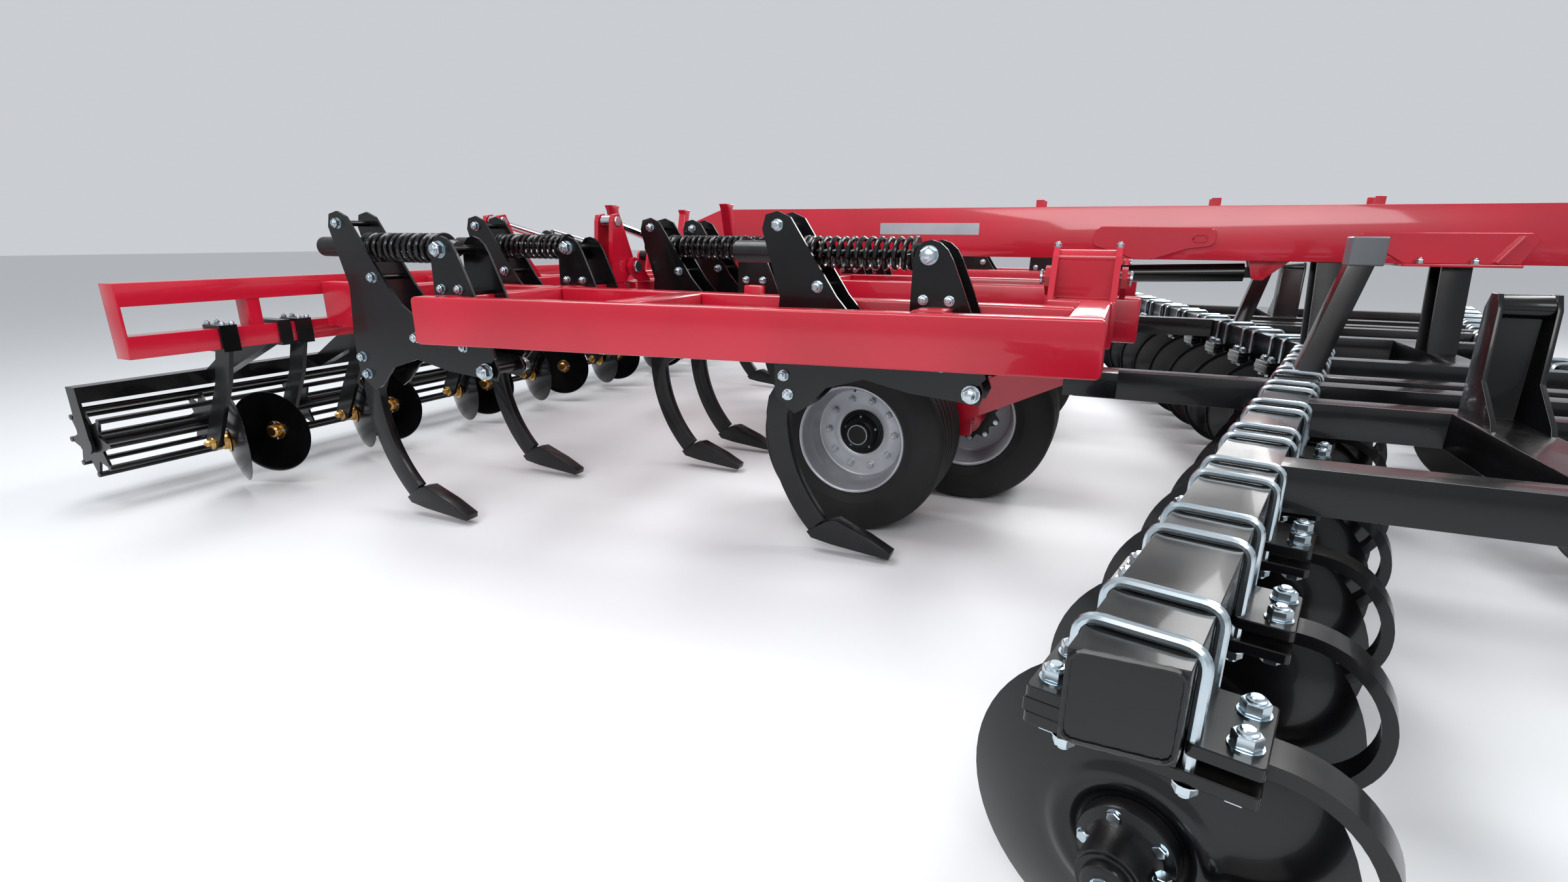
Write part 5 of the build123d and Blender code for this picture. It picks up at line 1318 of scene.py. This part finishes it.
@dataclass
class PostCaps:
    """Grey caps on the posts at the inner ends of the rear gang beam."""

    size: tuple[float, float, float] = (122.0, 104.0, 112.0)
    post_y: float = 1045.0
    lean: float = 140.0
    middle_z: float = 1326.0

    def build(self) -> None:
        """Make both caps."""
        x = gang_x(REAR_GANG_X, self.post_y) + self.lean
        tops = [mirrored(place((x, self.post_y, self.middle_z)), sign) for _, sign in SIDES]
        make("post_caps", "centre_frame", [plank(self.size, GREY_ENAMEL, 8.0, 5.0).at(tops)])


@dataclass
class KnuckleBox:
    """Bolts, grease nipple and weld beads of the wide front knuckle."""

    side: str
    sign: float
    half: float = 115.0
    plate: float = 12.5
    foot_z: float = 1116.0
    foot_y: tuple[float, float] = (1219.0, 1330.0)

    def build(self) -> None:
        """Make the knuckle's small pieces."""
        tops = [place((BOX_X + face * (self.half + self.plate), 1185.0, 1330.0)) for face in (-1.0, 1.0)]
        nipple = mirrored(lying((BOX_X, 1182.0, 1250.0), (0, 1, 0.2)), self.sign)
        shapes = bolts_at(18.0, BRIGHT_ZINC, [mirrored(top, self.sign) for top in tops], 8.0)
        shapes += bolts_at(8.0, YELLOW_ZINC, [nipple])
        make(f"box_bolts_{self.side}", f"wing_{self.side}", shapes)
        low, high, z = BOX_X - self.half, BOX_X + self.half, self.foot_z
        near, far = self.foot_y
        lines = [((x, near - 1.0, z), (x, far, z)) for x in (low, high)]
        lines.append(((low, near, z), (high, near, z)))
        side = [mirrored(np.eye(4), self.sign)]
        beads = [weld(line, RED_ENAMEL, 5.0).at(side) for line in lines]
        make(f"box_welds_{self.side}", f"wing_{self.side}", beads)


@dataclass
class LevellingDiscs:
    """Levelling discs of one section with their plated hubs and the bolts of their arms' clamps."""

    body: str
    prefix: str
    suffix: str
    sides: tuple[float, ...]
    table: tuple[tuple[float, int], ...]
    radius: float = 228.0
    dish: float = 45.0
    thick: float = 6.0

    def blade(self) -> Shape:
        """One dished disc about Z, its hollow face towards +Z.

        Returns:
            The disc.
        """
        out = np.linspace(0.01, self.radius - 10.0, 12)
        home = np.linspace(self.radius - 1.0, 0.01, 14)
        edge = dished(self.radius, self.dish, self.radius)
        face = list(zip(out, dished(self.radius, self.dish, out) + self.thick))
        face += [(self.radius - 0.5, edge + 2.0), (self.radius, edge)]
        return lathe(face + list(zip(home, dished(self.radius, self.dish, home))), DISC_ENAMEL, 60)

    def hubs(self, axes: Sequence[np.ndarray], arms: Sequence[np.ndarray]) -> list[Shape]:
        """Hubs, caps and bolts.

        Args:
            axes: Places of the discs' axes.
            arms: Places of the arms under the bar.

        Returns:
            The shapes.
        """
        hub = (
            (0.01, -16.0), (30.0, -16.0), (36.0, -10.0), (36.0, 30.0), (44.0, 38.0), (44.0, 56.0), (60.0, 58.0),
            (62.0, 61.0), (58.0, 66.0),
        )
        cap = ((0.01, 38.0), (24.0, 38.0), (34.0, 30.0), (36.0, 8.0), (52.0, 7.0), (54.0, 4.0), (54.0, -3.0))
        shapes = [
            lathe(hub, YELLOW_ZINC, 36).at(axes),
            lathe(cap, YELLOW_ZINC, 36).moved(z=LEVEL_OFFSET + self.thick).at(axes),
        ]
        ring = [place((x, y, LEVEL_OFFSET + 12.0)) for x, y in ring_of(4, 45.0)]
        clamp = [place((x, y, LOWER_BAR_TOP + 14.3)) for x in (-58.0, 58.0) for y in (-22.0, 22.0)]
        shapes += bolts_at(20.0, YELLOW_ZINC, spots(axes, [hanging((0, 0, -16.0))]), 8.0)
        shapes += bolts_at(10.0, BRIGHT_ZINC, spots(axes, ring))
        shapes += bolts_at(14.0, BRIGHT_ZINC, spots(arms, clamp), 6.0)
        return shapes

    def build(self) -> None:
        """Make the section's discs and hubs."""
        axes, arms = [], []
        for y, facing in self.table:
            angle = math.radians(facing * (90.0 - LEVEL_ANGLE))
            axis = lying((BAR_X - LEVEL_BACK, y, LEVEL_Z), (math.cos(angle), math.sin(angle), 0.0))
            axes += [mirrored(axis, sign) for sign in self.sides]
            arms += [mirrored(place((BAR_X, y, 0.0)), sign) for sign in self.sides]
        blades = self.blade().at(spots(axes, [place((0, 0, LEVEL_OFFSET))]))
        name = f"{self.prefix}_level_blades{self.suffix}"
        make(name, self.body, [blades], [f"{self.prefix}_level_discs{self.suffix}"], 50.0)
        make(f"{self.prefix}_level_hubs{self.suffix}", self.body, self.hubs(axes, arms))


def paint_solids() -> None:
    """Give every solid that still shows its finish."""
    finishes = {
        Slot.RED: RED_ENAMEL,
        Slot.BLACK: BLACK_ENAMEL,
        Slot.RIM: RIM_PAINT,
        Slot.TYRE: RUBBER,
        Slot.DISC: DISC_ENAMEL,
        Slot.CHROME: CHROME,
    }
    for row in frame["record"]["subparts"]:
        rod = row["node"].startswith(("fold_rods", "lift_rod"))
        finish = CHROME if rod else finishes[Slot(row["material_slot"])]
        mesh = frame["nodes"][row["node"]].data
        mesh.materials.clear()
        mesh.materials.append(shop.get(finish))


@dataclass
class Studio:
    """Pale floor, soft light and the camera at the photograph's angle."""

    sky: str = "#E6E9EE"
    sky_strength: float = 0.75
    floor_colour: str = "#D9DBDD"
    floor_half: float = 60.0
    # Place, target, length, width and power of each lamp, in metres and watts
    lamps: tuple[tuple, ...] = (
        ((-4.0, -2.0, 7.0), (0.0, 0.0, 0.0), 6.0, 3.0, 420.0),
        ((3.5, 1.5, 7.0), (0.0, 0.0, 0.0), 6.0, 2.0, 420.0),
        ((0.5, -9.5, 5.0), (0.0, -1.0, 0.5), 7.0, 2.2, 380.0),
        ((0.0, 9.0, 5.0), (0.0, 1.0, 0.5), 7.0, 2.2, 320.0),
    )
    eye: tuple[float, float, float] = (0.304, -4.728, 1.363)
    tilt_down: float = 0.29
    roll: float = -0.0071
    heading: float = 0.4013
    photo_w: float = 2400.0
    focal_px: float = 1124.7
    sensor_mm: float = 36.0
    shift: tuple[float, float] = (-0.0137, 0.0100)

    def floor(self) -> None:
        """Lay the floor."""
        size = self.floor_half
        mesh = bpy.data.meshes.new("floor")
        mesh.from_pydata([(-size, -size, 0), (size, -size, 0), (size, size, 0), (-size, size, 0)], [], [(0, 1, 2, 3)])
        floor = bpy.data.objects.new("floor", mesh)
        bpy.context.scene.collection.objects.link(floor)
        material = bpy.data.materials.new("pale_floor")
        material.use_nodes = True
        shader = material.node_tree.nodes["Principled BSDF"]
        shader.inputs["Base Color"].default_value = linear(self.floor_colour)
        shader.inputs["Roughness"].default_value = 0.7
        mesh.materials.append(material)

    def light(self) -> None:
        """Hang the lamps and paint the sky."""
        world = bpy.data.worlds.new("studio")
        bpy.context.scene.world = world
        world.use_nodes = True
        background = world.node_tree.nodes["Background"]
        background.inputs["Color"].default_value = linear(self.sky)
        background.inputs["Strength"].default_value = self.sky_strength
        for index, (origin, target, length, width, power) in enumerate(self.lamps):
            lamp = bpy.data.lights.new(f"panel_{index}", "AREA")
            lamp.shape = "RECTANGLE"
            lamp.size, lamp.size_y, lamp.energy = length, width, power
            panel = bpy.data.objects.new(f"panel_{index}", lamp)
            panel.location = origin
            panel.rotation_euler = (Vector(target) - Vector(origin)).to_track_quat("-Z", "Y").to_euler()
            bpy.context.scene.collection.objects.link(panel)

    def camera(self) -> None:
        """Set the camera where the photograph was taken."""
        lens = bpy.data.cameras.new("photo_camera")
        lens.sensor_width = self.sensor_mm
        lens.lens = self.sensor_mm * self.focal_px / self.photo_w
        lens.shift_x, lens.shift_y = self.shift
        lens.clip_end = 200.0
        camera = bpy.data.objects.new("photo_camera", lens)
        camera.location = self.eye
        camera.rotation_euler = Euler((math.pi / 2 - self.tilt_down, self.roll, self.heading), "XYZ")
        bpy.context.scene.collection.objects.link(camera)
        bpy.context.scene.camera = camera

    def build(self) -> None:
        """Set the whole stage."""
        bpy.context.scene.view_settings.view_transform = "Standard"
        self.light()
        self.floor()
        self.camera()


def main() -> None:
    """Dress the frame and set the stage."""
    Studio().build()
    paint_solids()
    both = (1.0, -1.0)
    parts = [FrameEdges()]
    for side, sign in SIDES:
        wing, suffix, one = f"wing_{side}", f"_{side}", (sign,)
        beams = ((REAR_GANG_X, REAR_DISCS), (FRONT_GANG_X, FRONT_DISCS))
        parts += [
            DiscGang(wing, "wing", suffix, one, beams),
            TripShanks(wing, "wing", suffix, one, WING_SHANKS, -1040.0),
            RoadWheel("outer", side, (AXLE_X, 1395.0 * sign, 450.0), sign),
            RoadWheel("inner", side, (AXLE_X + 410.0, 725.0 * sign, 450.0), -sign),
            FoldCylinders(side, sign),
            LevellingDiscs(wing, "wing", suffix, one, WING_LEVELS),
            KnuckleBox(side, sign),
        ]
    middle = ((REAR_GANG_X, CENTRE_DISCS), (FRONT_GANG_X, CENTRE_DISCS))
    parts += [
        DiscGang("centre_frame", "centre", "", both, middle),
        TripShanks("centre_frame", "centre", "", both, CENTRE_SHANKS, -890.0),
        LevellingDiscs("centre_frame", "centre", "", both, CENTRE_LEVELS),
        PinHeads(),
        TongueTrim(),
        PostCaps(),
    ]
    for part in parts:
        part.build()


if __name__ == "__main__":
    logging.basicConfig(level=logging.INFO, format="%(name)s: %(message)s")
    main()
